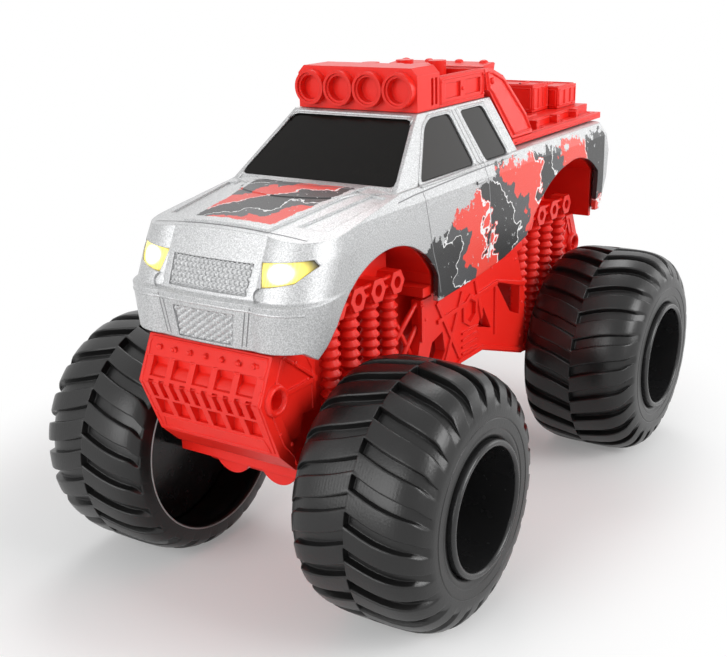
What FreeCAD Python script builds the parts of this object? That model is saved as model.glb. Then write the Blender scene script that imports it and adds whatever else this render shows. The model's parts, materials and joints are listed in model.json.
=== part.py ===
"""Toy monster truck: silver pickup shell, red chassis and rack, four big black wheels.

Millimetres, +Z up. The truck faces -Y, its left side is +X, the ground is Z = 0 and the
origin lies on the ground midway between the two axles.
"""
import FreeCAD
import Part
import math
import os
from FreeCAD import Vector

DOC = FreeCAD.newDocument("monster_truck")
SHEET = DOC.addObject("Spreadsheet::Sheet", "Sizes")

# Driving dimensions: alias, value in millimetres (or a count), what it is.
SIZES = (
    # wheels
    ("wheelbase", 98.0, "front axle to rear axle"),
    ("track_half", 32.6, "middle of the truck to the ridge of a tread"),
    ("tyre_radius", 26.0, "ground to axle, and out to the lugs' tips"),
    ("lug_height", 1.6, "lug over the carcass"),
    ("lug_count", 24, "lugs around each half of a tread"),
    ("lug_sweep", 12.0, "degrees a lug runs forward between the ridge and its end"),
    ("tyre_outboard", 14.7, "ridge to the outer sidewall"),
    ("tyre_inboard", 13.9, "ridge to the inner edge"),
    ("tyre_wall", 2.2, "wall of the tyre"),
    ("bead_radius", 13.5, "where the tyre grips the rim"),
    ("bead_inset", 0.7, "sidewall to the bead's face"),
    ("back_radius", 19.8, "open back of the tyre"),
    ("rim_stand", 1.4, "rim's lip beyond the bead"),
    ("rim_wall", 1.4, "wall of the rim's cup"),
    ("web_inset", 15.0, "rim's lip to the web in the cup"),
    ("web_wall", 1.6, "thickness of the web"),
    ("hub_radius", 3.6, "hub behind the web"),
    ("axle_radius", 1.5, "steel axle"),
    ("axle_seat", 12.0, "axle's length inside each hub"),
    ("axle_play", 0.06, "radial running clearance of the axle"),
    ("hub_play", 0.4, "gap between hub and axle housing"),
    # axle housings and spring perches
    ("housing_radius", 4.2, "tube around the axle"),
    ("housing_half", 17.6, "half length of that tube"),
    ("lobe_radius", 4.8, "pair of round gear bulges"),
    ("lobe_offset", 5.9, "middle of the truck to a bulge's middle"),
    ("lobe_height", 29.8, "ground to a bulge's middle"),
    ("lobe_reach", 9.5, "axle to the bulge's free end"),
    ("perch_height", 30.5, "top of the lower spring perch"),
    ("perch_wall", 2.0, "thickness of a spring perch"),
    ("perch_outer", 17.8, "outer edge of the perches"),
    ("perch_front", 11.5, "axle to the perch's end away from the middle"),
    ("perch_back", 20.5, "axle to the perch's end towards the middle"),
    ("tower_half", 9.2, "half width of the suspension tower"),
    ("tower_reach", 8.0, "half length of the suspension tower"),
    # shock absorbers
    ("shock_radius", 2.0, "largest radius of the bellows"),
    ("shock_neck", 1.4, "smallest radius of the bellows"),
    ("shock_pitch", 2.05, "length of one fold"),
    ("shock_folds", 14, "folds in one bellows"),
    ("shock_line", 14.6, "middle of the truck to the row of shocks"),
    ("disc_radius", 2.7, "six-sided disc at the head of a shock, out to its corners"),
    ("disc_bore", 1.2, "round hole through the disc"),
    ("disc_stand", 2.6, "shock's middle to the disc's outer face"),
    ("disc_height", 2.2, "top of the bellows to the disc's middle"),
    ("hanger_wall", 1.4, "plate that carries a bank of shocks"),
    ("hanger_height", 7.5, "height of that plate over the bellows"),
    # chassis
    ("tub_half", 12.4, "half width of the battery tub"),
    ("keel_front", 4.5, "front perch to the battery tub"),
    ("keel_rear", 5.5, "rear perch to the battery tub"),
    ("tub_bottom", 36.0, "ground to the tub's lower edge"),
    ("tub_wall", 1.6, "wall of the tub"),
    ("deck_top", 58.6, "top of the deck that carries the shell"),
    ("deck_wall", 2.0, "thickness of that deck"),
    ("keel_half", 7.0, "half width of the keel to each axle"),
    ("keel_wall", 3.0, "height of the keel"),
    ("door_wall", 1.4, "battery door"),
    ("door_play", 0.2, "gap around the battery door"),
    ("screw_radius", 1.5, "head of the battery door's screw"),
    ("screw_inset", 4.0, "end of the battery bay to that screw"),
    ("switch_half", 1.5, "half width of the power switch"),
    ("switch_depth", 1.2, "depth of the switch's pocket in the front keel"),
    ("frame_wall", 2.4, "thickness of a side frame"),
    ("frame_line", 17.6, "middle of the truck to a side frame's face"),
    ("frame_relief", 0.5, "ribs, ring and louvres proud of a side frame"),
    ("liner_wall", 1.2, "thickness of the red liner in a wheel arch"),
    # body shell
    ("shell_wall", 1.2, "wall of the silver shell"),
    ("sill_half", 20.7, "half width at the sill"),
    ("waist_half", 21.5, "half width at the waist"),
    ("nose_flare", 0.8, "bumper's corner beyond the waist"),
    ("belt_half", 20.9, "half width at the belt"),
    ("sill_height", 55.3, "ground to the lowest edge of the shell"),
    ("crease_height", 66.2, "ground to the crease over the bumper"),
    ("belt_height", 80.0, "ground to the belt"),
    ("bed_height", 81.5, "ground to the rim of the load bed"),
    ("hood_drop", 5.2, "belt to the hood's edge over the bumper"),
    ("nose_overhang", 21.6, "front axle to the face of the bumper"),
    ("tail_overhang", 24.0, "rear axle to the face of the tail"),
    ("roof_height", 93.3, "ground to the roof"),
    ("roof_half", 15.3, "half width of the roof"),
    ("cab_half", 20.5, "half width of the cab at the belt"),
    ("cab_front", 36.6, "middle to the foot of the windscreen"),
    ("roof_front", 19.0, "middle to the front of the roof"),
    ("roof_rear", 12.6, "middle to the rear of the roof"),
    ("cab_rear", 18.4, "middle to the foot of the rear window"),
    ("arch_spring", 61.0, "ground to where an arch starts to curve"),
    ("arch_top_front", 71.0, "ground to the top of the front arch"),
    ("arch_top_rear", 74.0, "ground to the top of the rear arch"),
    ("relief", 0.5, "depth of the grilles and vents, height of the hood's panel"),
    ("glass_wall", 0.9, "thickness of the dark glazing"),
    ("lens_wall", 1.6, "thickness of a headlamp lens"),
    # roof and bed furniture
    ("bar_half", 14.8, "half length of the roof light bar"),
    ("bar_height", 8.7, "height of the light bar"),
    ("bar_depth", 9.0, "front to back of the light bar"),
    ("bar_front", 18.0, "middle to the light bar's face"),
    ("bar_chamfer", 1.5, "cut corner at each end of the bar's top"),
    ("bar_slot", 0.9, "width and depth of the slots in the bar's ends"),
    ("lens_radius", 3.6, "ring of a roof lamp"),
    ("lens_bore", 2.5, "recess of a roof lamp"),
    ("lens_step", 0.5, "step between the ring and the recess"),
    ("lens_stand", 1.8, "roof lamp proud of the bar"),
    ("lens_pitch", 7.3, "roof lamp to roof lamp"),
    ("rack_wall", 1.8, "thickness of the rack's rails"),
    ("rack_rise", 6.2, "height of the rack's rails"),
    ("rack_rear", 11.0, "middle to the rack's rear end"),
    ("tray_rise", 4.2, "height of the load in the rack"),
    ("knob_radius", 2.0, "round caps of the load in the rack"),
    ("strut_half", 17.4, "middle to a strut's outer face at its foot"),
    ("strut_width", 3.2, "width of a strut"),
    ("strut_depth", 11.0, "front to back of a strut"),
    ("spoiler_half", 12.6, "half length of the lip across the struts"),
    ("spoiler_rise", 2.4, "height of that lip"),
    ("cover_half", 17.9, "half width of the bed cover"),
    ("cover_front", 19.4, "middle to the bed cover's front end"),
    ("cover_tail", 0.6, "face of the tail to the bed cover's rear end"),
    ("cover_wall", 1.5, "thickness of the bed cover"),
    ("step_half", 14.0, "half width of the cover's raised deck"),
    ("step_rise", 2.0, "height of the raised deck"),
    ("crate_rise", 6.6, "height of the front crate"),
    ("crate_depth", 9.4, "front to back of the front crate"),
    # guards
    ("guard_half", 14.8, "half width of a guard"),
    ("guard_top", 57.0, "ground to a guard's top"),
    ("guard_knee", 48.7, "ground to a guard's knee"),
    ("guard_foot", 37.1, "ground to the lower edge of a guard's face"),
    ("guard_tail", 32.8, "ground to the lowest edge of a guard"),
    ("guard_front", 24.4, "front axle to the knee of its guard"),
    ("guard_rear", 18.8, "rear axle to the knee of its guard"),
    ("guard_back", 8.4, "axle to a guard's back"),
    ("guard_lean_up", 4.2, "fall back of the face from knee to top"),
    ("guard_lean_down", 4.6, "fall back of the face from knee to foot"),
    ("guard_cheek", 4.4, "front to back of a guard's side flanges"),
    ("guard_core", 11.6, "half width of the box behind the flanges"),
    ("plate_inset", 0.5, "guard's side plates in from the flanges"),
    ("plate_back", 7.0, "axle to the rear edge of those side plates"),
    ("boss_radius", 3.1, "round boss on a guard's side"),
    ("pocket_depth", 1.6, "depth of a guard's pockets"),
    ("seam", 0.1, "gap between pieces that are screwed or clipped together"),
)

# Places that several pieces share, as expressions on the sheet.
AXLE = "Sizes.wheelbase / 2"
TUB_FRONT = "(Sizes.wheelbase / 2 - Sizes.perch_back - Sizes.keel_front)"
TUB_REAR = "(Sizes.wheelbase / 2 - Sizes.perch_back - Sizes.keel_rear)"
DECK_HALF = "(Sizes.sill_half - Sizes.shell_wall - 3 * Sizes.seam)"
ROOF = "Sizes.roof_height + Sizes.seam"
COVER_REAR = "(Sizes.wheelbase / 2 + Sizes.tail_overhang - Sizes.cover_tail)"
COVER = "Sizes.bed_height + Sizes.seam"
DECK = "Sizes.bed_height + 2 * Sizes.seam + Sizes.cover_wall + Sizes.step_rise"


def fill_sheet():
    """Write every driving dimension to the sheet with its alias and its description."""
    for row, (alias, value, note) in enumerate(SIZES, start=1):
        SHEET.set("A%d" % row, alias)
        SHEET.set("B%d" % row, "%g" % value)
        SHEET.set("C%d" % row, note)
        SHEET.setAlias("B%d" % row, alias)
    DOC.recompute()


def size(alias):
    """Value of one driving dimension, read from the sheet."""
    return float(getattr(SHEET, alias))


NODES = []


def keep(obj, label):
    """Name a finished sub-part; its Label is the name of its file."""
    obj.Label = label
    NODES.append(obj)
    return obj


def solid(label, shape):
    """A sub-part whose shape comes from Part's own functions."""
    obj = DOC.addObject("Part::Feature", label)
    obj.Shape = shape
    return keep(obj, label)


# ---- primitives bound to the sheet ---------------------------------------------------

def bind(obj, **expressions):
    """Bind properties to expressions; base_x, base_y and base_z place the object."""
    for name, text in expressions.items():
        path = name.replace("base_", "Placement.Base.") if name.startswith("base_") else name
        obj.setExpression(path, text)
    return obj


def block(name, x_span, y_span, z_span):
    """Part::Box between two expressions along each axis."""
    obj = DOC.addObject("Part::Box", name)
    bind(obj, Length="(%s) - (%s)" % (x_span[1], x_span[0]),
         Width="(%s) - (%s)" % (y_span[1], y_span[0]),
         Height="(%s) - (%s)" % (z_span[1], z_span[0]),
         base_x=x_span[0], base_y=y_span[0], base_z=z_span[0])
    return obj


def wide(half):
    """Span across the truck between -half and half."""
    return "-(%s)" % half, half


def rod(name, radius, length, axis, base):
    """Part::Cylinder along 'x', 'y' or 'z' from a base point of three expressions."""
    obj = DOC.addObject("Part::Cylinder", name)
    turn = {"x": (Vector(0, 1, 0), 90), "y": (Vector(1, 0, 0), -90), "z": (Vector(0, 0, 1), 0)}
    obj.Placement.Rotation = FreeCAD.Rotation(*turn[axis])
    bind(obj, Radius=radius, Height=length, base_x=base[0], base_y=base[1], base_z=base[2])
    return obj


def cut(name, base, tools):
    """Base less every tool."""
    tool = tools[0] if len(tools) == 1 else fuse(name + "_tools", tools)
    obj = DOC.addObject("Part::Cut", name)
    obj.Base = base
    obj.Tool = tool
    return obj


def fuse(name, parts):
    """All parts in one solid."""
    obj = DOC.addObject("Part::MultiFuse", name)
    obj.Shapes = parts
    obj.Refine = True
    return obj


# ---- shapes from points --------------------------------------------------------------

def polygon(points):
    """Closed wire through the points."""
    return Part.makePolygon([Vector(*p) for p in points + points[:1]])


def prism_x(points, x_from, x_to):
    """Outline of (y, z) points drawn out along X."""
    wire = polygon([(x_from, y, z) for y, z in points])
    return Part.Face(wire).extrude(Vector(x_to - x_from, 0, 0))


def prism_y(points, y_from, y_to):
    """Outline of (x, z) points drawn out along Y."""
    wire = polygon([(x, y_from, z) for x, z in points])
    return Part.Face(wire).extrude(Vector(0, y_to - y_from, 0))


def prism_z(points, z_from, z_to):
    """Outline of (x, y) points drawn out along Z."""
    wire = polygon([(x, y, z_from) for x, y in points])
    return Part.Face(wire).extrude(Vector(0, 0, z_to - z_from))


def slab(x_from, x_to, y_from, y_to, z_from, z_to):
    """Plain block between two corners."""
    return Part.makeBox(x_to - x_from, y_to - y_from, z_to - z_from,
                        Vector(x_from, y_from, z_from))


def arc(start, middle, end):
    """Edge through three points."""
    return Part.Arc(Vector(*start), Vector(*middle), Vector(*end)).toShape()


def line(start, end):
    """Straight edge."""
    return Part.makeLine(Vector(*start), Vector(*end))


def mirrored(shape):
    """The same shape on the other side of the truck."""
    return shape.mirror(Vector(0, 0, 0), Vector(1, 0, 0))


def turned(shape):
    """The same shape at the other end of the truck."""
    return shape.mirror(Vector(0, 0, 0), Vector(0, 1, 0))


def both(shape):
    """The shape and its twin on the other side of the truck."""
    return [shape, mirrored(shape)]


def joined(shapes):
    """Every shape of a list in one solid."""
    return shapes[0].fuse(shapes[1:]).removeSplitter()


# ---- wheels --------------------------------------------------------------------------

class FacetSkin:
    """Closed skin of triangles about the X axis, built up from rings of points."""

    def __init__(self):
        self.points = []
        self.facets = []
        self.known = {}

    def point(self, across, radius, angle):
        """Index of the point at a distance along X, a radius and an angle in degrees."""
        key = (round(across, 4), round(radius, 4), round(angle, 3) % 360.0)
        if key not in self.known:
            self.known[key] = len(self.points)
            turn = math.radians(angle)
            self.points.append(Vector(across, -radius * math.sin(turn), radius * math.cos(turn)))
        return self.known[key]

    def ring(self, across, radius, angles):
        """Points at one radius; the first angle comes again at the end of a closed ring."""
        return [self.point(across, radius, angle) for angle in angles]

    def strip(self, first, second, flip):
        """Triangles between two rows of points, however many each row has."""
        i = j = 0
        last_i, last_j = len(first) - 1, len(second) - 1
        while i < last_i or j < last_j:
            if j == last_j or (i < last_i and (i + 1) * last_j <= (j + 1) * last_i):
                facet = (first[i], second[j], first[i + 1])
                i += 1
            else:
                facet = (first[i], second[j], second[j + 1])
                j += 1
            if len(set(facet)) == 3:
                self.facets.append(facet[::-1] if flip else facet)

    def solid(self):
        """The skin as one solid."""
        shell = Part.Shape()
        shell.makeShapeFromMesh((self.points, self.facets), 0.001)
        made = Part.makeSolid(shell)
        return made if made.Volume > 0 else made.reversed()


def tread_radius(share, low):
    """Radius over the lugs at a share of the way from the ridge to the tyre's side."""
    return low + (size("tyre_radius") - low) * (1 - share ** 4.1) ** (1 / 3.0)


def tyre_shape():
    """Hollow tyre about the X axis, its tread ridge at X = 0 and its outer side at +X.

    Each half of the tread has its own ring of lugs. They run forward from the ridge to the
    sidewall, half a pitch away from the lugs of the other half.
    """
    count = int(size("lug_count"))
    pitch = 360.0 / count
    groove = 0.4 * pitch                     # share of the pitch that the groove takes
    lead = -0.5                              # degrees from the top to the first groove
    bead = size("bead_radius")
    back = size("back_radius")
    skin = FacetSkin()
    lifts = (1.0, 1.0, 0.85)                 # lug's height at the ridge, shoulder and edge
    sweeps = (0.0, 0.5, 0.72)                # share of the sweep reached there
    crossings = sorted(lead + half * pitch / 2 + k * pitch + step
                       for half in (0, 1) for k in range(-1, count + 2) for step in (0, groove))
    ends = []
    for half, sign, reach, low in ((0, 1, size("tyre_outboard"), bead),
                                   (1, -1, -size("tyre_inboard"), back)):
        flip = sign > 0
        shares = (0.0, 0.62, 0.89)           # ridge, shoulder and edge of the tread
        tops = [tread_radius(share, low) for share in shares]
        floors = [top - lift * size("lug_height") for top, lift in zip(tops, lifts)]
        end = (0.975 * reach, tread_radius(0.975, low))
        fades = []
        for k in range(count):
            start = lead + half * pitch / 2 + k * pitch
            spans = ((start, start + groove, floors), (start + groove, start + pitch, tops))
            fade = start + groove + (pitch - groove) / 2 + size("lug_sweep")
            fades.append(fade)
            for low_angle, high_angle, radii in spans:
                rows = []
                for share, sweep, radius in zip(shares, sweeps, radii):
                    angles = [low_angle, high_angle]
                    if share == 0.0:
                        angles = [a for a in crossings
                                  if low_angle - 0.01 < a < high_angle + 0.01]
                    rows.append(skin.ring(share * reach, radius,
                                          [a + sweep * size("lug_sweep") for a in angles]))
                for inner, outer in zip(rows, rows[1:]):
                    skin.strip(inner, outer, flip)
                closing = [fade - pitch, fade] if radii is floors else [fade]
                skin.strip(rows[-1], skin.ring(end[0], end[1], closing), flip)
            for angle, faces_on in ((start + groove, False), (start + pitch, True)):
                edge_top, edge_floor = ([skin.point(share * reach, radius,
                                                    angle + sweep * size("lug_sweep"))
                                         for share, sweep, radius in zip(shares, sweeps, radii)]
                                        + [skin.point(end[0], end[1], fade)]
                                        for radii in (tops, floors))
                skin.strip(edge_top, edge_floor, faces_on != flip)
            skin.strip(skin.ring(0, tops[0], (start, start + groove)),
                       skin.ring(0, floors[0], (start, start + groove)), flip)
        ends.append(skin.ring(end[0], end[1], fades + [fades[0] + 360.0]))

    # the hollow: bead, outer wall, crown and open back, with half as many corners
    corners = [fades[0] + 2 * k * pitch for k in range(count // 2)] + [fades[0] + 360.0]
    stretch = 1 / math.cos(math.pi / (count // 2))
    hollow = (size("tyre_radius") - size("lug_height") - size("tyre_wall")) * stretch
    face = size("tyre_outboard") - size("bead_inset")
    wall = size("tyre_wall")
    inboard = size("tyre_inboard")
    rings = [ends[0]]
    for across, radius in ((face, bead * stretch), (face - 2 * wall, bead * stretch),
                           (face - 1.5 * wall, bead + 2.2 * wall),
                           (face - 3 * wall, hollow), (3 * wall - inboard, hollow),
                           (wall - inboard, back + 0.3 * wall), (-inboard, back)):
        rings.append(skin.ring(across, radius, corners))
    rings.append(ends[1])
    for first, second in zip(rings, rings[1:]):
        skin.strip(first, second, True)
    return skin.solid()


def rim_shape():
    """Rim about the X axis: a deep cup, its web, the hub and a flange inside the tyre."""
    out = size("tyre_outboard") - size("bead_inset") + size("rim_stand")
    barrel = size("bead_radius")
    cup = barrel - size("rim_wall")
    web = out - size("web_inset")
    back = web - size("web_wall")
    flange = size("tyre_radius") - size("lug_height") - size("tyre_wall") - size("seam")
    hub = size("hub_radius")
    hub_end = size("housing_half") + size("hub_play") - size("track_half")
    lip = size("rim_wall") / 2
    bore = size("axle_radius")
    seat_end = hub_end + size("axle_seat")
    profile = [arc((out - lip, 0, cup), (out, 0, cup + lip), (out - lip, 0, barrel))]
    corners = [(out - lip, 0, barrel), (web, 0, barrel), (web, 0, flange), (back, 0, flange),
               (back, 0, hub), (hub_end, 0, hub), (hub_end, 0, bore), (seat_end, 0, bore),
               (seat_end, 0, 0), (web, 0, 0), (web, 0, cup), (out - lip, 0, cup)]
    profile += [line(a, b) for a, b in zip(corners, corners[1:])]
    return Part.Face(Part.Wire(profile)).revolve(Vector(0, 0, 0), Vector(1, 0, 0), 360)


def wheels():
    """Two wheelsets: each a steel axle with a rim and a tyre at both ends.

    The lugs of the rear wheels run the other way round from those of the front wheels.
    """
    shapes = {"tyre": tyre_shape(), "rim": rim_shape()}
    for end, along in (("front", -1), ("rear", 1)):
        axle = rod(end + "_axle_rod", "Sizes.axle_radius",
                   "2 * (Sizes.housing_half + Sizes.hub_play + Sizes.axle_seat)", "x",
                   ("-(Sizes.housing_half + Sizes.hub_play + Sizes.axle_seat)",
                    "%d * %s" % (along, AXLE), "Sizes.tyre_radius"))
        keep(axle, end + "_axle")
        for side, across in (("left", 1), ("right", -1)):
            for part, shape in shapes.items():
                moved = shape if along < 0 else turned(shape)
                moved = moved.copy() if across > 0 else mirrored(moved)
                moved.translate(Vector(across * size("track_half"),
                                       along * size("wheelbase") / 2, size("tyre_radius")))
                solid("%s_%s_%s" % (part, end, side), moved)


# ---- suspension ----------------------------------------------------------------------

def shock_shape():
    """One bellows standing on its lower end, a bored six-sided disc at its head."""
    radius = size("shock_radius")
    neck = size("shock_neck")
    pitch = size("shock_pitch")
    folds = int(size("shock_folds"))
    points = [(0, 0, 0), (neck, 0, 0)]
    for fold in range(folds):
        low = fold * pitch
        points += [(radius, 0, low + 0.35 * pitch), (radius, 0, low + 0.6 * pitch),
                   (neck, 0, low + pitch)]
    points.append((0, 0, folds * pitch))
    bellows = Part.Face(polygon(points)).revolve(Vector(0, 0, 0), Vector(0, 0, 1), 360)
    middle = folds * pitch + size("disc_height")
    corners = [(size("disc_radius") * math.cos(math.radians(60 * k)),
                middle + size("disc_radius") * math.sin(math.radians(60 * k))) for k in range(6)]
    disc = prism_x(corners, -size("shock_neck"), size("disc_stand"))
    bore = Part.makeCylinder(size("disc_bore"), size("disc_stand") - size("seam"),
                             Vector(size("seam"), 0, middle), Vector(1, 0, 0))
    return bellows.fuse(disc.cut(bore))


def shock_bank(label, across, along, offsets):
    """A row of shocks hung from one plate; offsets run from the axle towards the middle."""
    shock = shock_shape()
    places = [along * (size("wheelbase") / 2 - offset) for offset in offsets]
    line_x = size("shock_line")
    foot = size("perch_height") + size("seam")
    head = foot + int(size("shock_folds")) * size("shock_pitch")
    shapes = []
    for place in places:
        one = shock.copy()
        one.translate(Vector(line_x, place, foot))
        shapes.append(one)
    inner = line_x - size("shock_neck") - size("hanger_wall")
    low, high = min(places[1:]), max(places[1:])
    shapes.append(slab(inner, inner + size("hanger_wall"), low - size("shock_radius"),
                       high + size("shock_radius"), head - size("shock_pitch"),
                       head + size("hanger_height")))
    shapes.append(slab(inner, line_x, min(places) - size("shock_neck"),
                       max(places) + size("shock_neck"), head - size("hanger_wall"), head))
    bank = joined(shapes)
    solid(label, bank if across > 0 else mirrored(bank))


def suspension():
    """Axle housings with their towers and perches, and the four banks of shocks."""
    for end, along, offsets in (("front", -1, (-2.5, 4.2, 11.3, 18.4)),
                                ("rear", 1, (-4.7, 3.0, 10.6, 18.0))):
        axle_y = "%d * %s" % (along, AXLE)
        tube = rod(end + "_tube", "Sizes.housing_radius", "2 * Sizes.housing_half", "x",
                   ("-Sizes.housing_half", axle_y, "Sizes.tyre_radius"))
        reach = axle_y + (" - Sizes.lobe_reach" if along < 0 else "")
        lobes = [rod("%s_lobe_%s" % (end, name), "Sizes.lobe_radius", "Sizes.lobe_reach", "y",
                     (sign + "Sizes.lobe_offset", reach, "Sizes.lobe_height"))
                 for name, sign in (("left", ""), ("right", "-"))]
        ahead, behind = ("front", "back") if along < 0 else ("back", "front")
        perch = block(end + "_perch", wide("Sizes.perch_outer"),
                      ("%s - Sizes.perch_%s" % (axle_y, ahead),
                       "%s + Sizes.perch_%s" % (axle_y, behind)),
                      ("Sizes.perch_height - Sizes.perch_wall", "Sizes.perch_height"))
        tower = block(end + "_tower", wide("Sizes.tower_half"),
                      (axle_y + " - Sizes.tower_reach", axle_y + " + Sizes.tower_reach"),
                      ("Sizes.perch_height - Sizes.perch_wall", "Sizes.deck_top"))
        bore = rod(end + "_bore", "Sizes.axle_radius + Sizes.axle_play",
                   "2 * Sizes.housing_half + 2 * Sizes.hub_play", "x",
                   ("-Sizes.housing_half - Sizes.hub_play", axle_y, "Sizes.tyre_radius"))
        body = fuse(end + "_housing_body", [tube, perch, tower] + lobes)
        keep(cut(end + "_housing", body, [bore]), "axle_housing_" + end)
        for side, across in (("left", 1), ("right", -1)):
            shock_bank("shocks_%s_%s" % (end, side), across, along, offsets)


# ---- chassis -------------------------------------------------------------------------

def chassis():
    """Battery tub under a deck, with keels to the axle housings, its door and its cells."""
    bottom = "Sizes.tub_bottom"
    tub = block("tub_outer", wide("Sizes.tub_half"), ("-" + TUB_FRONT, TUB_REAR),
                (bottom, "Sizes.deck_top"))
    deck = block("deck", wide(DECK_HALF), ("-" + TUB_FRONT, TUB_REAR),
                 ("Sizes.deck_top - Sizes.deck_wall", "Sizes.deck_top"))
    perch_end = AXLE + " - Sizes.perch_back - Sizes.seam"
    keels = [block(name, wide("Sizes.keel_half"), span, (bottom, bottom + " + Sizes.keel_wall"))
             for name, span in (("front_keel", ("-(%s)" % perch_end, "-" + TUB_FRONT)),
                                ("rear_keel", (TUB_REAR, perch_end)))]
    bay = block("battery_bay", wide("Sizes.tub_half - Sizes.tub_wall"),
                ("-(%s - Sizes.tub_wall)" % TUB_FRONT, TUB_REAR + " - Sizes.tub_wall"),
                (bottom, "Sizes.deck_top - Sizes.deck_wall"))
    keel_middle = "-(%s + Sizes.keel_front / 2)" % TUB_FRONT
    pocket = block("switch_pocket", wide("2 * Sizes.switch_half"),
                   (keel_middle + " - Sizes.switch_half", keel_middle + " + Sizes.switch_half"),
                   (bottom, bottom + " + Sizes.switch_depth"))
    tub_body = cut("chassis_tub", fuse("chassis_solid", [tub, deck] + keels), [bay, pocket])
    liners = []
    for end in ("front", "rear"):
        liner = DOC.addObject("Part::Feature", "liner_" + end)
        liner.Shape = liner_shape(end)
        liners.append(liner)
    keep(fuse("chassis_moulding", [tub_body] + liners), "chassis")

    keep(block("switch_knob", wide("Sizes.switch_half"),
               (keel_middle + " - Sizes.switch_half + Sizes.seam", keel_middle),
               (bottom + " + Sizes.seam", bottom + " + Sizes.switch_depth - Sizes.seam")),
         "power_switch")
    inset = "Sizes.tub_wall - Sizes.door_play"
    plate = block("door_plate", wide("Sizes.tub_half - " + inset),
                  ("-(%s - %s)" % (TUB_FRONT, inset), "%s - %s" % (TUB_REAR, inset)),
                  (bottom, bottom + " + Sizes.door_wall"))
    screw_y = "%s - Sizes.tub_wall - Sizes.screw_inset" % TUB_REAR
    hole = rod("screw_hole", "Sizes.screw_radius + Sizes.seam", "Sizes.door_wall", "z",
               ("0", screw_y, bottom))
    keep(cut("door_body", plate, [hole]), "battery_door")
    keep(rod("screw_head", "Sizes.screw_radius", "Sizes.door_wall - 2 * Sizes.seam", "z",
             ("0", screw_y, bottom + " + Sizes.seam")), "screw_battery_door")
    clear = "2 * Sizes.tub_wall"
    cells = block("cells", wide("Sizes.tub_half - " + clear),
                  ("-(%s - %s)" % (TUB_FRONT, clear), "%s - %s" % (TUB_REAR, clear)),
                  (bottom + " + Sizes.door_wall + Sizes.seam",
                   "Sizes.deck_top - Sizes.deck_wall - Sizes.seam"))
    keep(cells, "battery_pack")


def side_frames():
    """Truss beside the battery tub, with its windows, ribs, six-sided ring and louvres."""
    low = size("tub_bottom")
    high = size("deck_top") - size("deck_wall") - size("seam")
    end = size("wheelbase") / 2 - size("perch_back") - size("seam")
    face = size("frame_line")
    proud = face + size("frame_relief")

    def at(along, up):
        """Point at shares of the frame's half length and of the height over the tub's foot."""
        return along * end, low + up * (high - low)

    foot = -(low - size("perch_height") + size("perch_wall")) / (high - low)
    outline = [at(-1.0, foot), at(-0.82, foot), at(-0.2, 0.0), at(0.18, 0.0), at(0.95, foot),
               at(1.0, foot), at(1.0, 0.4), at(0.82, 1.0), at(-0.63, 1.0), at(-0.63, 0.94),
               at(-0.78, 0.94), at(-0.78, 0.62), at(-0.84, 0.3), at(-1.0, 0.1)]
    windows = [[at(0.44, 0.72), at(0.9, 0.52), at(0.9, 0.16), at(0.72, 0.26)],
               [at(0.12, 0.3), at(0.22, 0.5), at(0.36, 0.2)],
               [at(-0.74, 0.06), at(-0.62, 0.42), at(-0.46, 0.48), at(-0.42, 0.24), at(-0.56, 0.0)]]
    frame = prism_x(outline, face - size("frame_wall"), face)
    ribs = []
    rib = size("frame_relief") * 2
    for start, finish in ((at(-0.2, 0.03), at(0.2, 0.03)), (at(0.2, 0.03), at(0.97, foot + 0.04)),
                          (at(-0.2, 0.03), at(-0.79, foot + 0.04)),
                          (at(-0.44, 0.1), at(-0.16, 0.82)), (at(-0.56, 0.84), at(-0.2, 0.08)),
                          (at(0.05, 0.9), at(0.2, 0.3)), (at(-0.22, 0.9), at(0.05, 0.9)),
                          (at(-0.55, 0.62), at(0.45, 0.72)), (at(0.45, 0.72), at(0.98, 0.52)),
                          (at(-0.78, 0.5), at(-0.78, 0.88)), (at(0.42, 0.1), at(0.42, 0.68))):
        run = Vector(0, finish[0] - start[0], finish[1] - start[1])
        across = Vector(0, -run.z, run.y).normalize() * (rib / 2)
        ribs.append(prism_x([(start[0] + across.y, start[1] + across.z),
                             (finish[0] + across.y, finish[1] + across.z),
                             (finish[0] - across.y, finish[1] - across.z),
                             (start[0] - across.y, start[1] - across.z)],
                            face - size("frame_relief"), proud))
    for k in range(4):
        z = at(0, 0.08 + 0.08 * k)[1]
        ribs.append(slab(face - size("frame_relief"), proud, at(-0.16, 0)[0], at(0.1, 0)[0],
                         z, z + rib / 2))
    ring_y, ring_z = at(-0.03, 0.56)
    radius = 0.19 * (high - low)
    rings = []
    for share in (1.0, 0.72):
        corners = [(ring_y + share * radius * math.sin(math.radians(60 * k)),
                    ring_z + share * radius * math.cos(math.radians(60 * k))) for k in range(6)]
        rings.append(corners)
    ring = prism_x(rings[0], face - size("frame_relief"), proud)
    hollow = prism_x(rings[1], face - size("frame_relief"), 2 * proud)
    frame = joined([frame] + ribs + [ring])
    for tool in [prism_x(w, face - size("frame_wall"), proud) for w in windows] + [hollow]:
        frame = frame.cut(tool)
    solid("side_frame_left", frame)
    solid("side_frame_right", mirrored(frame))


# ---- guards --------------------------------------------------------------------------

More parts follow.
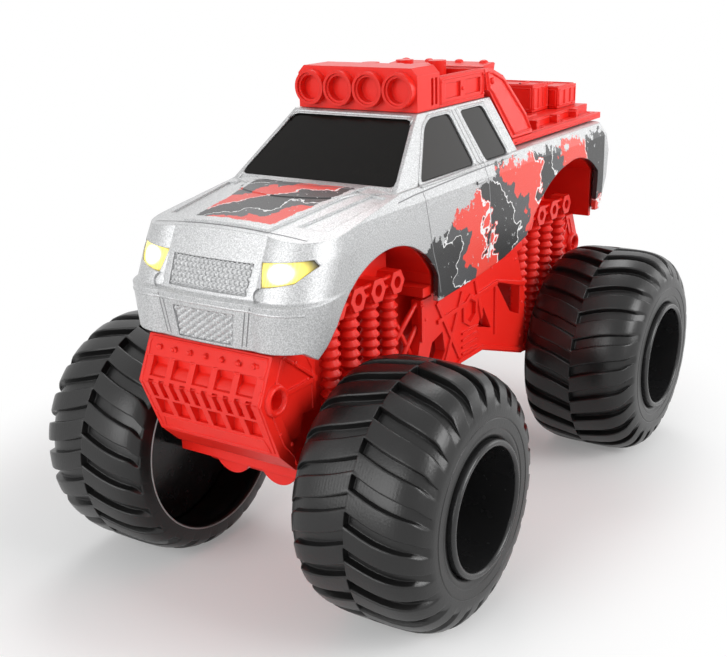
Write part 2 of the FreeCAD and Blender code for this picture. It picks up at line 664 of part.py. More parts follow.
def guard_shape(overhang):
    """Bent box under the bumper, its face towards -Y, with rows of pockets."""
    axle = size("wheelbase") / 2
    half = size("guard_half")
    reach = axle + overhang
    top, knee = size("guard_top"), size("guard_knee")
    foot, tail = size("guard_foot"), size("guard_tail")
    back = axle + size("guard_back")
    lean_up = size("guard_lean_up")
    lean_down = size("guard_lean_down")
    cheek = size("guard_cheek")
    deep = size("pocket_depth")
    skin = [(-reach + lean_up, top), (-reach, knee), (-reach + lean_down, foot),
            (-reach + lean_down + cheek, tail), (-reach + lean_down + cheek, foot),
            (-reach + cheek, knee), (-reach + lean_up + cheek, top)]
    core = [(-reach + lean_up + deep, top), (-reach + deep, knee),
            (-reach + lean_down + cheek, tail), (-back, tail + deep), (-back, top)]
    plate_half = half - size("plate_inset")
    plate_end = axle + size("plate_back")
    plate = [(-reach + lean_up + deep, top), (-reach + deep, knee),
             (-reach + lean_down + deep, foot + deep),
             (-reach + lean_down + 1.6 * cheek, foot + deep),
             (-plate_end - cheek, knee - 0.5 * (knee - foot)), (-plate_end, knee - 0.55 * (knee - foot)),
             (-plate_end, knee + 0.45 * (top - knee)), (-back - cheek / 2, top)]
    inner = size("guard_core") - cheek / 2
    guard = joined([prism_x(skin, -half, half),
                    prism_x(core, -size("guard_core"), size("guard_core"))]
                   + both(prism_x(plate, inner, plate_half)))
    # rows of pockets: count, width, lower and upper edge as shares of the face's height
    for count, width, low, high in ((5, 3.9, 0.64, 0.815), (10, 1.3, 0.42, 0.61),
                                    (6, 3.1, 0.21, 0.39)):
        z_low, z_high = (foot + share * (top - foot) for share in (low, high))
        pitch = 2 * (half - deep) / count
        z_mid = (z_low + z_high) / 2
        face = reach - lean_up * max(0.0, (z_mid - knee) / (top - knee)) \
            - lean_down * max(0.0, (knee - z_mid) / (knee - foot))
        for k in range(count):
            x_mid = (k + 0.5) * pitch - half + deep
            guard = guard.cut(slab(x_mid - width / 2, x_mid + width / 2, -face - deep,
                                   -face + deep, z_low, z_high))
    # round boss at the knee's ends, the rivets along the top
    boss_y = -reach + 1.35 * size("boss_radius")
    boss = Part.makeCylinder(size("boss_radius"), 2 * half + size("relief"),
                             Vector(-half - size("relief") / 2, boss_y, knee), Vector(1, 0, 0))
    bore = Part.makeCylinder(0.6 * size("boss_radius"), 2 * deep,
                             Vector(half + size("relief") - 2 * deep, boss_y, knee),
                             Vector(1, 0, 0))
    rib = size("relief")
    side_ribs = [slab(inner, half, boss_y, -plate_end, knee - rib, knee + rib),
                 prism_x([(-reach + lean_up + cheek / 2, top - rib),
                          (-reach + lean_up + cheek / 2, top), (-plate_end, knee + rib),
                          (-plate_end, knee - rib)], inner, half)]
    for shape in side_ribs:
        guard = joined([guard] + both(shape))
    guard = guard.fuse(boss).cut(bore).cut(mirrored(bore))
    count = 7
    rivet_z = top - 0.1 * (top - foot)
    rivet_y = -reach + lean_up * (rivet_z - knee) / (top - knee)
    rivets = [Part.makeCylinder(size("relief"), 2 * size("relief"),
                                Vector((k - (count - 1) / 2) * 2 * (half - deep) / count,
                                       rivet_y - size("relief"), rivet_z), Vector(0, 1, 0))
              for k in range(count)]
    guard = joined([guard] + rivets)
    lobe_end = axle + size("lobe_reach") + size("seam")
    for side in (-1, 1):
        guard = guard.cut(Part.makeCylinder(
            size("lobe_radius") + size("seam"), lobe_end,
            Vector(side * size("lobe_offset"), -lobe_end, size("lobe_height")),
            Vector(0, 1, 0)))
    return guard


def guards():
    """Guard under the front bumper and a shallower one under the tail."""
    solid("front_guard", guard_shape(size("guard_front")))
    solid("rear_guard", turned(guard_shape(size("guard_rear"))))


# ---- body shell ----------------------------------------------------------------------

def nose():
    """Middle to the face of the bumper."""
    return size("wheelbase") / 2 + size("nose_overhang")


def tail():
    """Middle to the face of the tail."""
    return size("wheelbase") / 2 + size("tail_overhang")


def body_sections():
    """Rows of (z, nose_back, tail_back, half, flare), from below the sill to the hood.

    nose_back and tail_back are how far the plan falls back from the bumper and the tail.
    """
    sill = size("sill_height")
    crease = size("crease_height")
    belt = size("belt_height")
    rise = belt - crease
    waist = size("waist_half")
    flare = size("nose_flare")
    drop = size("hood_drop")
    return (
        (sill - 0.3 * rise, 0.1 * drop, 1.3 * drop, size("sill_half"), 0.6 * flare),
        (crease, 0.0, 0.2 * drop, waist, flare),
        (crease + 0.04 * rise, 0.22 * drop, 0.15 * drop, waist, 0.6 * flare),
        (crease + 0.52 * rise, 0.83 * drop, 0.0, waist, 0.5 * flare),
        (belt - 0.16 * rise, 1.27 * drop, 0.3 * drop, waist - 0.02 * drop, 0.2 * flare),
        (belt + 0.25 * rise, 1.6 * drop, 1.35 * drop, size("belt_half") - 0.2 * drop, 0.0),
    )


def outline_wire(z, front, rear, half, flare, inset):
    """Plan of the body at one height: bowed nose, flared corners, straight sides and tail."""
    half -= inset
    front -= inset
    rear -= inset
    flat = 0.51 * size("waist_half")
    corner = half + flare
    drop = size("hood_drop")
    bow = 0.12 * drop
    turn = 0.6 * drop
    corner_y = front - 1.75 * drop
    left = [
        arc((flat, -front + bow, z), (flat + 0.8 * (corner - flat), -front + bow + 0.52 * drop, z),
            (corner, -corner_y, z)),
        line((corner, -corner_y, z), (half, -corner_y + 1.6 * drop, z)),
        line((half, -corner_y + 1.6 * drop, z), (half, rear - turn, z)),
        arc((half, rear - turn, z), (half - 0.29 * turn, rear - 0.29 * turn, z),
            (half - turn, rear, z)),
    ]
    right = [edge.mirror(Vector(0, 0, 0), Vector(1, 0, 0)) for edge in reversed(left)]
    bowed = arc((-flat, -front + bow, z), (0, -front, z), (flat, -front + bow, z))
    end = line((half - turn, rear, z), (-half + turn, rear, z))
    return Part.Wire(Part.__sortEdges__([bowed] + left + [end] + right))


def crowned_block(sections):
    """Loft along Y through (y, half, z_low, z_edge, z_middle) sections with arched tops."""
    wires = []
    for y, half, z_low, z_edge, z_middle in sections:
        wires.append(Part.Wire([
            line((-half, y, z_low), (half, y, z_low)),
            line((half, y, z_low), (half, y, z_edge)),
            arc((half, y, z_edge), (0, y, z_middle), (-half, y, z_edge)),
            line((-half, y, z_edge), (-half, y, z_low)),
        ]))
    return Part.makeLoft(wires, True, True)


def body_volume(inset):
    """Hood, doors and bed as one volume, pulled in by the inset on every outer face."""
    wires = [outline_wire(z, nose() - nose_back, tail() - tail_back, half, flare, inset)
             for z, nose_back, tail_back, half, flare in body_sections()]
    sides = Part.makeLoft(wires, True, True)
    belt = size("belt_height") - inset
    bed = size("bed_height") - inset
    drop = size("hood_drop")
    out = size("waist_half") + drop
    low = size("sill_height") - drop
    top = crowned_block([(-nose() - drop, out, low, belt - 1.5 * drop, belt - 0.8 * drop),
                         (-nose() + 1.75 * drop, out, low, belt - 0.95 * drop, belt - 0.35 * drop),
                         (-size("cab_front") + 0.4 * drop, out, low, belt - 0.04 * drop,
                          belt + 0.29 * drop),
                         (size("cab_rear"), out, low, bed - 0.12 * drop, bed),
                         (tail() + drop, out, low, bed - 0.12 * drop, bed)])
    return sides.common(top)


def cab_volume(inset):
    """Greenhouse: a frustum from the belt to the roof."""
    base_z = size("belt_height") - size("relief")
    lean = inset * 1.25
    levels = ((base_z, -size("cab_front") + lean, size("cab_rear") - lean, size("cab_half")),
              (size("roof_height") - inset, -size("roof_front") + lean / 2,
               size("roof_rear") - lean / 2, size("roof_half")))
    wires = [polygon([(-half + inset, front, z), (half - inset, front, z),
                      (half - inset, rear, z), (-half + inset, rear, z)])
             for z, front, rear, half in levels]
    return Part.makeLoft(wires, True, True)


def arch_span(end):
    """Front foot, front and rear of an arch where it starts to curve, rear foot, and top."""
    axle = size("wheelbase") / 2
    if end == "front":
        return (-axle - 32.6, -axle - 9.5, -axle + 28.0, -axle + 29.5, size("arch_top_front"))
    return (axle - 34.0, axle - 27.5, axle + 14.7, axle + 14.7, size("arch_top_rear"))


def arch_volume(end, grow, half):
    """Opening over a wheel, right through the body: straight feet, round top."""
    foot_front, front, rear, foot_rear, top = arch_span(end)
    front, foot_front = front - grow, foot_front - grow
    rear, foot_rear = rear + grow, foot_rear + grow
    spring = size("arch_spring")
    top += grow
    low = spring - 21.0
    if end == "front":
        head = [arc((-half, front, spring), (-half, (front + rear) / 2, top), (-half, rear, spring))]
    else:
        apex = front + 0.53 * (rear - front)
        hip = top - 5.0
        head = [arc((-half, front, spring), (-half, front + 0.2 * (rear - front),
                                             spring + 0.62 * (top - spring)), (-half, apex, top)),
                arc((-half, apex, top), (-half, rear - 0.19 * (rear - front), top - 0.6),
                    (-half, rear, hip)),
                line((-half, rear, hip), (-half, rear, spring))]
    edges = [line((-half, foot_front, low), (-half, front, spring))] + head + [
        line((-half, rear, spring), (-half, foot_rear, low)),
        line((-half, foot_rear, low), (-half, foot_front, low))]
    return Part.Face(Part.Wire(edges)).extrude(Vector(2 * half, 0, 0))


def liner_shape(end):
    """Red band that follows a wheel arch inside the shell, down to the deck."""
    half = size("sill_half") - size("shell_wall") - 3 * size("seam")
    play = 2 * size("seam")
    band = arch_volume(end, size("liner_wall") + play, half).cut(arch_volume(end, play, half + 1))
    front, foot_rear = arch_span(end)[1], arch_span(end)[3]
    low = size("deck_top") - size("deck_wall")
    start = -size("wheelbase") / 2 - 1.0 if end == "front" else front - size("hood_drop")
    return band.common(slab(-half, half, start, foot_rear + 2 * size("liner_wall"), low,
                            size("belt_height")))


def body_shell():
    """Silver moulding: hollow, open below, with its arches, windows and lamp holes."""
    wall = size("shell_wall")
    depth = size("relief")
    sill = size("sill_height")
    wide_half = 2 * size("waist_half")
    outer = body_volume(0)
    hood = prism_z(hood_panel(), size("crease_height"), size("roof_height"))
    shell = outer.fuse(body_volume(-depth).common(hood)).fuse(cab_volume(0))
    shell = shell.cut(body_volume(wall).fuse(cab_volume(wall)))
    beyond = 2 * size("hood_drop")
    over_guard = size("guard_top") + size("liner_wall") / 2
    bottom = prism_x([(-nose() - beyond, sill - beyond), (-nose() - beyond, over_guard),
                      (-nose() + 0.8 * size("hood_drop"), over_guard),
                      (-nose() + 1.3 * size("hood_drop"), sill + 0.5),
                      (-nose() + beyond, sill + 0.5), (-0.205 * size("wheelbase"), sill),
                      (-0.028 * size("wheelbase"), sill + 1.1),
                      (0.1 * size("wheelbase"), sill + 2.5), (0.22 * size("wheelbase"), sill + 5.3),
                      (tail() - 6.1, sill + 3.0), (tail() + beyond, sill + 3.0),
                      (tail() + beyond, sill - beyond)], -wide_half, wide_half)
    tools = [bottom, arch_volume("front", 0, wide_half), arch_volume("rear", 0, wide_half)]
    tools += window_openings(0)
    skin = outer.cut(body_volume(depth))
    for outline in (upper_grille(), lower_grille()):
        tools.append(prism_y(outline, -nose() - depth, -nose() + beyond).common(skin))
    for vent in both(prism_z(hood_vent(), size("crease_height"), size("roof_height"))):
        tools.append(vent.common(skin))
    lamp = prism_y(lamp_outline(0), -nose() - depth, -nose() + beyond)
    x, z, radius = fog_place()
    fog = Part.makeCylinder(radius, 2 * wall + beyond / 2, Vector(x, -nose() - depth, z),
                            Vector(0, 1, 0))
    tools += both(lamp) + both(fog.common(skin))
    for tool in tools:
        shell = shell.cut(tool)
    solid("body_shell", shell)

    lens_skin = body_volume(2 * size("seam")).cut(body_volume(2 * size("seam") + size("lens_wall")))
    lens = prism_y(lamp_outline(size("seam")), -nose() - depth, -nose() + beyond).common(lens_skin)
    solid("headlamp_left", lens)
    solid("headlamp_right", mirrored(lens))


def hood_panel():
    """Plan of the hood's raised middle, wider towards the windscreen."""
    half = size("waist_half")
    front = -nose() + 1.6 * size("hood_drop")
    rear = -size("cab_front") + 0.5 * size("hood_drop")
    return [(-0.46 * half, front), (0.46 * half, front), (0.62 * half, rear), (-0.62 * half, rear)]


def hood_vent():
    """Plan of the recessed field beside the hood's raised middle."""
    half = size("waist_half")
    front = -nose() + 2.5 * size("hood_drop")
    rear = -size("cab_front") - 0.2 * size("hood_drop")
    return [(0.6 * half, front), (0.87 * half, front + 1.0), (0.91 * half, rear), (0.75 * half, rear)]


def face_levels(*shares):
    """Heights on the nose at shares of the way from the crease to the belt."""
    crease = size("crease_height")
    return [crease + share * (size("belt_height") - crease) for share in shares]


def upper_grille():
    """Wide recessed mesh panel between the headlamps."""
    half = 0.44 * size("waist_half")
    low, high = face_levels(0.08, 0.47)
    return [(-0.97 * half, low), (0.97 * half, low), (half, high), (-half, high)]


def lower_grille():
    """Narrow woven panel in the bumper, under the crease."""
    low, high = face_levels(-0.59, -0.16)
    half = 0.34 * size("waist_half")
    return [(-0.87 * half, low), (0.87 * half, low), (half, high), (-half, high)]


def lamp_outline(inset):
    """Left headlamp seen from the front: straight inner end, pointed outer corner."""
    half = size("waist_half")
    z = face_levels(0.2, 0.28, 0.47, 0.55, 0.5)
    return [(0.56 * half + inset, z[0] + inset), (0.84 * half - inset, z[1] + inset),
            (0.965 * half - 2 * inset, z[2]), (0.93 * half - inset, z[3] - inset),
            (0.51 * half + inset, z[4] - inset)]


def fog_place():
    """Middle (x, z) and radius of the round recess below and inboard of a headlamp."""
    return 0.55 * size("waist_half"), face_levels(0.11)[0], 0.055 * size("waist_half")


def rounded(points, radius):
    """The outline with each corner replaced by a short bend of three points."""
    made = []
    for before, corner, after in zip(points[-1:] + points[:-1], points, points[1:] + points[:1]):
        here = Vector(corner[0], corner[1], 0)
        ends = []
        for other in (before, after):
            run = Vector(other[0], other[1], 0) - here
            ends.append(here + run.normalize() * radius)
        middle = (ends[0] + ends[1] + here * 2) * 0.25
        made += [(p.x, p.y) for p in (ends[0], middle, ends[1])]
    return made


def drawn_in(points, by):
    """The outline with each corner moved by a distance towards its middle."""
    middle = sum((Vector(a, b, 0) for a, b in points), Vector(0, 0, 0)) * (1 / len(points))
    moved = []
    for a, b in points:
        run = middle - Vector(a, b, 0)
        reached = Vector(a, b, 0) + run.normalize() * by
        moved.append((reached.x, reached.y))
    return moved


def window_openings(inset):
    """Tools for the windscreen, the side windows and the rear window, drawn in by an inset."""
    belt = size("belt_height")
    tall = size("roof_height") - belt
    half = size("cab_half")
    front = size("cab_front")
    rear = size("cab_rear")
    bend = size("shell_wall")

    def levels(*shares):
        """Heights at shares of the way from the belt to the roof."""
        return [belt + share * tall for share in shares]

    low, high = levels(0.1, 0.93)
    screen = [(-0.935 * half, low), (0.935 * half, low), (0.72 * half, high),
              (-0.72 * half, high)]
    low, corner, high = levels(0.07, 0.8, 0.91)
    door = [(-0.7 * front, low), (-0.075 * front, low), (-0.18 * front, high),
            (-0.41 * front, high), (-0.49 * front, corner)]
    quarter = [(0.13 * rear, low), (0.72 * rear, low), (0.45 * rear, high), (-0.12 * rear, high)]
    low, high = levels(0.23, 0.8)
    back = [(-0.68 * half, low), (0.68 * half, low), (0.58 * half, high), (-0.58 * half, high)]
    tools = [prism_y(drawn_in(rounded(screen, bend), inset), -1.22 * front, -0.43 * front),
             prism_y(drawn_in(rounded(back, bend), inset), 0.6 * rear, 1.3 * rear)]
    for outline in (door, quarter):
        outline = drawn_in(rounded(outline, bend), inset)
        tools += both(prism_x(outline, half / 2, 1.5 * half))
    return tools


def glazing():
    """Dark one-piece glazing that lines the cab, its panes raised into the openings."""
    gap = size("shell_wall") + size("seam")
    glass = cab_volume(gap).cut(cab_volume(gap + size("glass_wall")))
    panes = cab_volume(3 * size("seam")).cut(cab_volume(gap + size("glass_wall")))
    glass = joined([glass] + [tool.common(panes) for tool in window_openings(2 * size("seam"))])
    half = size("waist_half")
    floor = slab(-half, half, -nose(), tail(), size("crease_height"),
                 size("belt_height") + 2 * size("seam"))
    solid("window_insert", glass.cut(floor))


# ---- roof and bed --------------------------------------------------------------------

def light_bar():
    """Box across the roof with four stepped round lamps and slots in its ends."""
    half = size("bar_half")
    low = size("roof_height") + size("seam")
    high = low + size("bar_height")
    front = -size("bar_front")
    rear = front + size("bar_depth")
    cant = size("bar_chamfer")
    slot = size("bar_slot")
    bar = prism_y([(-half, low), (half, low), (half, high - cant), (half - cant, high),
                   (-half + cant, high), (-half, high - cant)], front, rear)
    z = (low + high) / 2
    stand = size("lens_stand")
    rings, recesses = [], []
    for k in range(4):
        x = (k - 1.5) * size("lens_pitch")
        rings.append(Part.makeCylinder(size("lens_radius"), stand + slot,
                                       Vector(x, front - stand, z), Vector(0, 1, 0)))
        for radius, depth in ((size("lens_bore") + size("lens_step"), size("lens_step")),
                              (size("lens_bore"), stand + size("lens_step"))):
            recesses.append(Part.makeCylinder(radius, depth, Vector(x, front - stand, z),
                                              Vector(0, 1, 0)))
    bar = joined([bar] + rings)
    for share in (0.62, 0.8):
        y = front + share * size("bar_depth")
        for tool in both(slab(half - slot, half, y, y + slot, low + slot, high - cant - slot)):
            recesses.append(tool)
    for tool in recesses:
        bar = bar.cut(tool)
    solid("roof_light_bar", bar)


def roof_rack():
    """Rails and a rear bar around a tray whose load shows round caps."""
    rack_front = "-Sizes.bar_front + Sizes.bar_depth + Sizes.seam"
    wall = "Sizes.rack_wall"
    parts = [block("rail_" + name, span, (rack_front, "Sizes.rack_rear"),
                   (ROOF, ROOF + " + Sizes.rack_rise"))
             for name, span in (("left", ("Sizes.bar_half - " + wall, "Sizes.bar_half")),
                                ("right", ("-Sizes.bar_half", "-Sizes.bar_half + " + wall)))]
    parts.append(block("rack_plate", wide("Sizes.bar_half"), (rack_front, "Sizes.rack_rear"),
                       (ROOF, ROOF + " + " + wall)))
    parts.append(block("rack_rear_bar", wide("Sizes.bar_half"),
                       ("Sizes.rack_rear - " + wall, "Sizes.rack_rear"),
                       (ROOF, ROOF + " + Sizes.rack_rise")))
    load_half = "Sizes.bar_half - 2 * " + wall
    parts.append(block("rack_load", wide(load_half),
                       (rack_front, "Sizes.rack_rear - 2 * " + wall),
                       (ROOF, ROOF + " + Sizes.tray_rise")))
    for k, (x, y) in enumerate(((-0.55, 0.3), (0.1, 0.22), (0.6, 0.3), (-0.2, 0.7), (0.5, 0.75))):
        parts.append(rod("rack_cap_%d" % k, "Sizes.knob_radius",
                         "Sizes.rack_rise + Sizes.knob_radius", "z",
                         ("%g * (%s)" % (x, load_half),
                          "%s + %g * (Sizes.rack_rear + Sizes.bar_front - Sizes.bar_depth)"
                          % (rack_front, y), ROOF)))
    recesses = []
    for name, place in (("left", "Sizes.bar_half - Sizes.relief"), ("right", "-Sizes.bar_half")):
        for part, low, high in (("front", 0.12, 0.45), ("rear", 0.55, 0.9)):
            span = "(Sizes.rack_rear + Sizes.bar_front - Sizes.bar_depth)"
            recesses.append(block("rail_field_%s_%s" % (name, part),
                                  (place, place + " + Sizes.relief"),
                                  ("%s + %g * %s" % (rack_front, low, span),
                                   "%s + %g * %s" % (rack_front, high, span)),
                                  (ROOF + " + Sizes.rack_rise / 4",
                                   ROOF + " + 3 * Sizes.rack_rise / 4")))
    keep(cut("rack_body", fuse("rack_solid", parts), recesses), "roof_rack")


def struts():
    """Slanted plates from the rack down to the bed, and the lip across their heads."""
    foot = size("bed_height") + 2 * size("seam") + size("cover_wall")
    top = size("roof_height") + size("seam") + size("rack_rise")
    head = size("rack_rear") + size("seam")
    front = size("cover_front") + 0.9
    depth = size("strut_depth")
    side = [(head + 0.9, top - 5.0), (head, top - 4.6), (head, top - 0.1), (head + 3.2, top - 0.2),
            (head + 8.4, top - 2.2), (head + 11.4, top - 5.0), (front + 0.78 * depth, top - 11.5),
            (front + depth, foot), (front, foot)]
    lean = (size("strut_half") - size("bar_half")) / (top - foot)
    faces = []
    for width in (size("strut_width"), 0.0):
        faces.append(polygon([(size("bar_half") + lean * (top - z) - width, y, z)
                              for y, z in side]))
    strut = Part.makeLoft(faces, True, True)
    solid("strut_left", strut)
    solid("strut_right", mirrored(strut))
    half = size("spoiler_half")
    rise = size("spoiler_rise")
    gap = size("seam")
    lip = prism_x([(head + 3.4, top - 0.2 + gap), (head + 8.4, top - 2.2 + gap),
                   (head + 9.2, top - 1.8 + rise * 0.9), (head + 8.6, top - 1.8 + rise),
                   (head + 4.0, top - 1.0 + rise / 2)], -half, half)
    solid("strut_crossbar", lip)


def bed_furniture():
    """Bed cover with its raised deck, and the crates on it."""
    step_front = "Sizes.cover_front + Sizes.strut_depth + 4 * Sizes.cover_wall"
    step_top = COVER + " + Sizes.cover_wall + Sizes.step_rise"
    parts = [block("cover_plate", wide("Sizes.cover_half"), ("Sizes.cover_front", COVER_REAR),
                   (COVER, COVER + " + Sizes.cover_wall")),
             block("cover_step", wide("Sizes.step_half"),
                   (step_front, COVER_REAR + " - Sizes.seam"), (COVER, step_top))]
    for k in range(3):
        place = "%s + %d * (%s - (%s)) / 3" % (step_front, k, COVER_REAR, step_front)
        for name, low, high in (("left", "Sizes.step_half", "Sizes.step_half + Sizes.step_rise"),
                                ("right", "-Sizes.step_half - Sizes.step_rise",
                                 "-Sizes.step_half")):
            parts.append(block("gusset_%s_%d" % (name, k), (low, high),
                               (place, place + " + Sizes.cover_wall"), (COVER, step_top)))
    keep(fuse("cover_body", parts), "bed_cover")
    rear_end = COVER_REAR + " - Sizes.cover_wall"
    rear_start = rear_end + " - 1.25 * Sizes.crate_depth"
    for name, half, span, rise in (
            ("front", "0.62 * Sizes.step_half",
             (rear_start + " - Sizes.relief - Sizes.crate_depth", rear_start + " - Sizes.relief"),
             "Sizes.crate_rise"),
            ("rear", "0.8 * Sizes.step_half", (rear_start, rear_end), "0.8 * Sizes.crate_rise")):
        keep(block("crate_%s_box" % name, wide(half), span, (DECK, DECK + " + " + rise)),
             "bed_crate_" + name)


def write_parts():
    """Check every object, then write one STEP file for each sub-part."""
    DOC.recompute()
    for obj in DOC.Objects:
        if "Invalid" in obj.State or "Error" in obj.State:
            raise RuntimeError("failed object: " + obj.Label)
    os.makedirs("parts", exist_ok=True)
    for obj in NODES:
        if obj.Shape.isNull() or not obj.Shape.isValid():
            raise RuntimeError("bad shape: " + obj.Label)
        obj.Shape.exportStep("parts/%s.step" % obj.Label)
        print("%-22s %2d solids %9.1f mm3" % (obj.Label, len(obj.Shape.Solids), obj.Shape.Volume))


fill_sheet()
wheels()
suspension()
chassis()
side_frames()
guards()
body_shell()
glazing()
light_bar()
roof_rack()
struts()
bed_furniture()
write_parts()
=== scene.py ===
"""Toy monster truck: finish, small details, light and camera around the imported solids."""
import bpy
import json
import math
from mathutils import Matrix, Vector
from mathutils.bvhtree import BVHTree


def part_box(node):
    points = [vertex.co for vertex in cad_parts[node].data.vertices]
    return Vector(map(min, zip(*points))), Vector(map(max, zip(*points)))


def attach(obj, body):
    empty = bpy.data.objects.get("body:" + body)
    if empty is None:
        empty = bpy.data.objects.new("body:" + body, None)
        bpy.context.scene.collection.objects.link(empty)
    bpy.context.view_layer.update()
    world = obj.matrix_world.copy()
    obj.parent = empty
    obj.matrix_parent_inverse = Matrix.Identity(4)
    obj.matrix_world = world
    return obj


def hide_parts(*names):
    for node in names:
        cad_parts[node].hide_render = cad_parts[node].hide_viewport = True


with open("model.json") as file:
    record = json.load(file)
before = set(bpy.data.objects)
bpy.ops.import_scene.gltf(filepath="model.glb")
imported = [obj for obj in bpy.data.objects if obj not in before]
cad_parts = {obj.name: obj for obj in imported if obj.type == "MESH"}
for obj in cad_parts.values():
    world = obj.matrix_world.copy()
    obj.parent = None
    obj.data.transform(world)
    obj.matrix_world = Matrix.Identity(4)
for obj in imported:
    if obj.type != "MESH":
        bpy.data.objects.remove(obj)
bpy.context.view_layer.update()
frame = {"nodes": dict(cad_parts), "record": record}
MM = 0.001


# ---- shader graphs -------------------------------------------------------------------

class Nodes:
    """Short calls that add nodes to one tree."""

    def __init__(self, tree):
        self.tree = tree

    def link(self, source, target):
        self.tree.links.new(source, target)

    def feed(self, value, target):
        """Sets or links one input."""
        if isinstance(value, bpy.types.NodeSocket):
            self.link(value, target)
        elif isinstance(value, tuple) and target.type == "RGBA":
            target.default_value = (*value, 1)
        else:
            target.default_value = value

    def node(self, kind, output, **inputs):
        """One node's output, its inputs fed by name."""
        node = self.tree.nodes.new(kind)
        for name, value in inputs.items():
            self.feed(value, node.inputs[name])
        return node.outputs[output]

    def math(self, operation, *values):
        """One Math node."""
        node = self.tree.nodes.new("ShaderNodeMath")
        node.operation = operation
        for value, target in zip(values, node.inputs):
            self.feed(value, target)
        return node.outputs[0]

    def add(self, *values):
        total = values[0]
        for value in values[1:]:
            total = self.math("ADD", total, value)
        return total

    def mul(self, a, b):
        return self.math("MULTIPLY", a, b)

    def least(self, *values):
        low = values[0]
        for value in values[1:]:
            low = self.math("MINIMUM", low, value)
        return low

    def step(self, value, edge, soft):
        """0 below the edge, 1 above it."""
        node = self.tree.nodes.new("ShaderNodeMapRange")
        node.interpolation_type = "SMOOTHSTEP"
        for given, name in ((value, "Value"), (edge - soft, "From Min"), (edge + soft, "From Max")):
            self.feed(given, node.inputs[name])
        return node.outputs[0]

    def mix(self, share, a, b):
        """Colour a at share 0, colour b at share 1."""
        node = self.tree.nodes.new("ShaderNodeMix")
        node.data_type = "RGBA"
        for value, target in ((share, node.inputs[0]), (a, node.inputs[6]), (b, node.inputs[7])):
            self.feed(value, target)
        return node.outputs[2]


class Graph(Nodes):
    """One material's tree; x, y and z are the row frame in millimetres."""

    def __init__(self, name):
        self.mat = bpy.data.materials.new(name)
        self.mat.use_nodes = True
        super().__init__(self.mat.node_tree)
        self.shader = self.tree.nodes["Principled BSDF"]
        place = self.tree.nodes.new("ShaderNodeTexCoord").outputs["Object"]
        scale = self.tree.nodes.new("ShaderNodeVectorMath")
        scale.operation = "SCALE"
        scale.inputs["Scale"].default_value = 1000
        self.link(place, scale.inputs[0])
        self.place = scale.outputs[0]
        split = self.tree.nodes.new("ShaderNodeSeparateXYZ")
        self.link(self.place, split.inputs[0])
        self.x, self.y, self.z = split.outputs

    def noise(self, scale, detail=2.0, rough=0.5, kind="ShaderNodeTexNoise", place=None):
        """Noise of so many features a millimetre."""
        node = self.tree.nodes.new(kind)
        self.link(place or self.place, node.inputs["Vector"])
        node.inputs["Scale"].default_value = scale
        if kind == "ShaderNodeTexNoise":
            node.inputs["Detail"].default_value = detail
            node.inputs["Roughness"].default_value = rough
        return node.outputs[0]

    def bump(self, height, depth, edge=0.25):
        """Relief of a depth in millimetres over edges rounded by a radius in millimetres."""
        bevel = self.tree.nodes.new("ShaderNodeBevel")
        bevel.samples = 4
        bevel.inputs["Radius"].default_value = edge * MM
        node = self.tree.nodes.new("ShaderNodeBump")
        node.inputs["Distance"].default_value = depth * MM
        self.link(height, node.inputs["Height"])
        self.link(bevel.outputs[0], node.inputs["Normal"])
        self.link(node.outputs[0], self.shader.inputs["Normal"])

    def finish(self, **values):
        """Feeds the shader's inputs by name and gives the material."""
        for name, value in values.items():
            self.feed(value, self.shader.inputs[name.replace("_", " ")])
        return self.mat


SILVER_DARK, SILVER_LIGHT = (0.36, 0.365, 0.37), (0.64, 0.645, 0.65)
DECAL_RED, DECAL_GREY = (0.78, 0.045, 0.025), (0.055, 0.056, 0.06)
DECAL_BLACK = (0.012, 0.012, 0.013)


def splash(g, mask, along, across, paint):
    """Torn strokes of red, dark grey and black inside a mask, with thin pale edges."""
    stroke = g.node("ShaderNodeCombineXYZ", 0, X=g.mul(along, 2.4), Y=g.mul(across, 0.16),
                    Z=g.mul(g.z, 0.02))
    ragged = g.noise(1.0, 5.0, 0.6, place=stroke)
    torn = g.math("FRACT", g.add(along, g.mul(g.noise(0.11, 3.0, 0.5), 0.9), g.mul(ragged, 0.5)))
    color = g.mix(g.step(torn, 0.42, 0.008), DECAL_BLACK, DECAL_GREY)
    color = g.mix(g.step(torn, 0.6, 0.008), color, DECAL_RED)
    for edge, width in ((0.42, 0.011), (0.975, 0.014)):
        line = g.math("SUBTRACT", width, g.math("ABSOLUTE", g.add(torn, -edge)))
        color = g.mix(g.step(line, 0.0, 0.003), color, (0.8, 0.8, 0.8))
    fleck = g.step(g.noise(0.6, 4.0, 0.65), 0.66, 0.008)
    color = g.mix(fleck, color, paint)
    return g.mix(mask, paint, color)


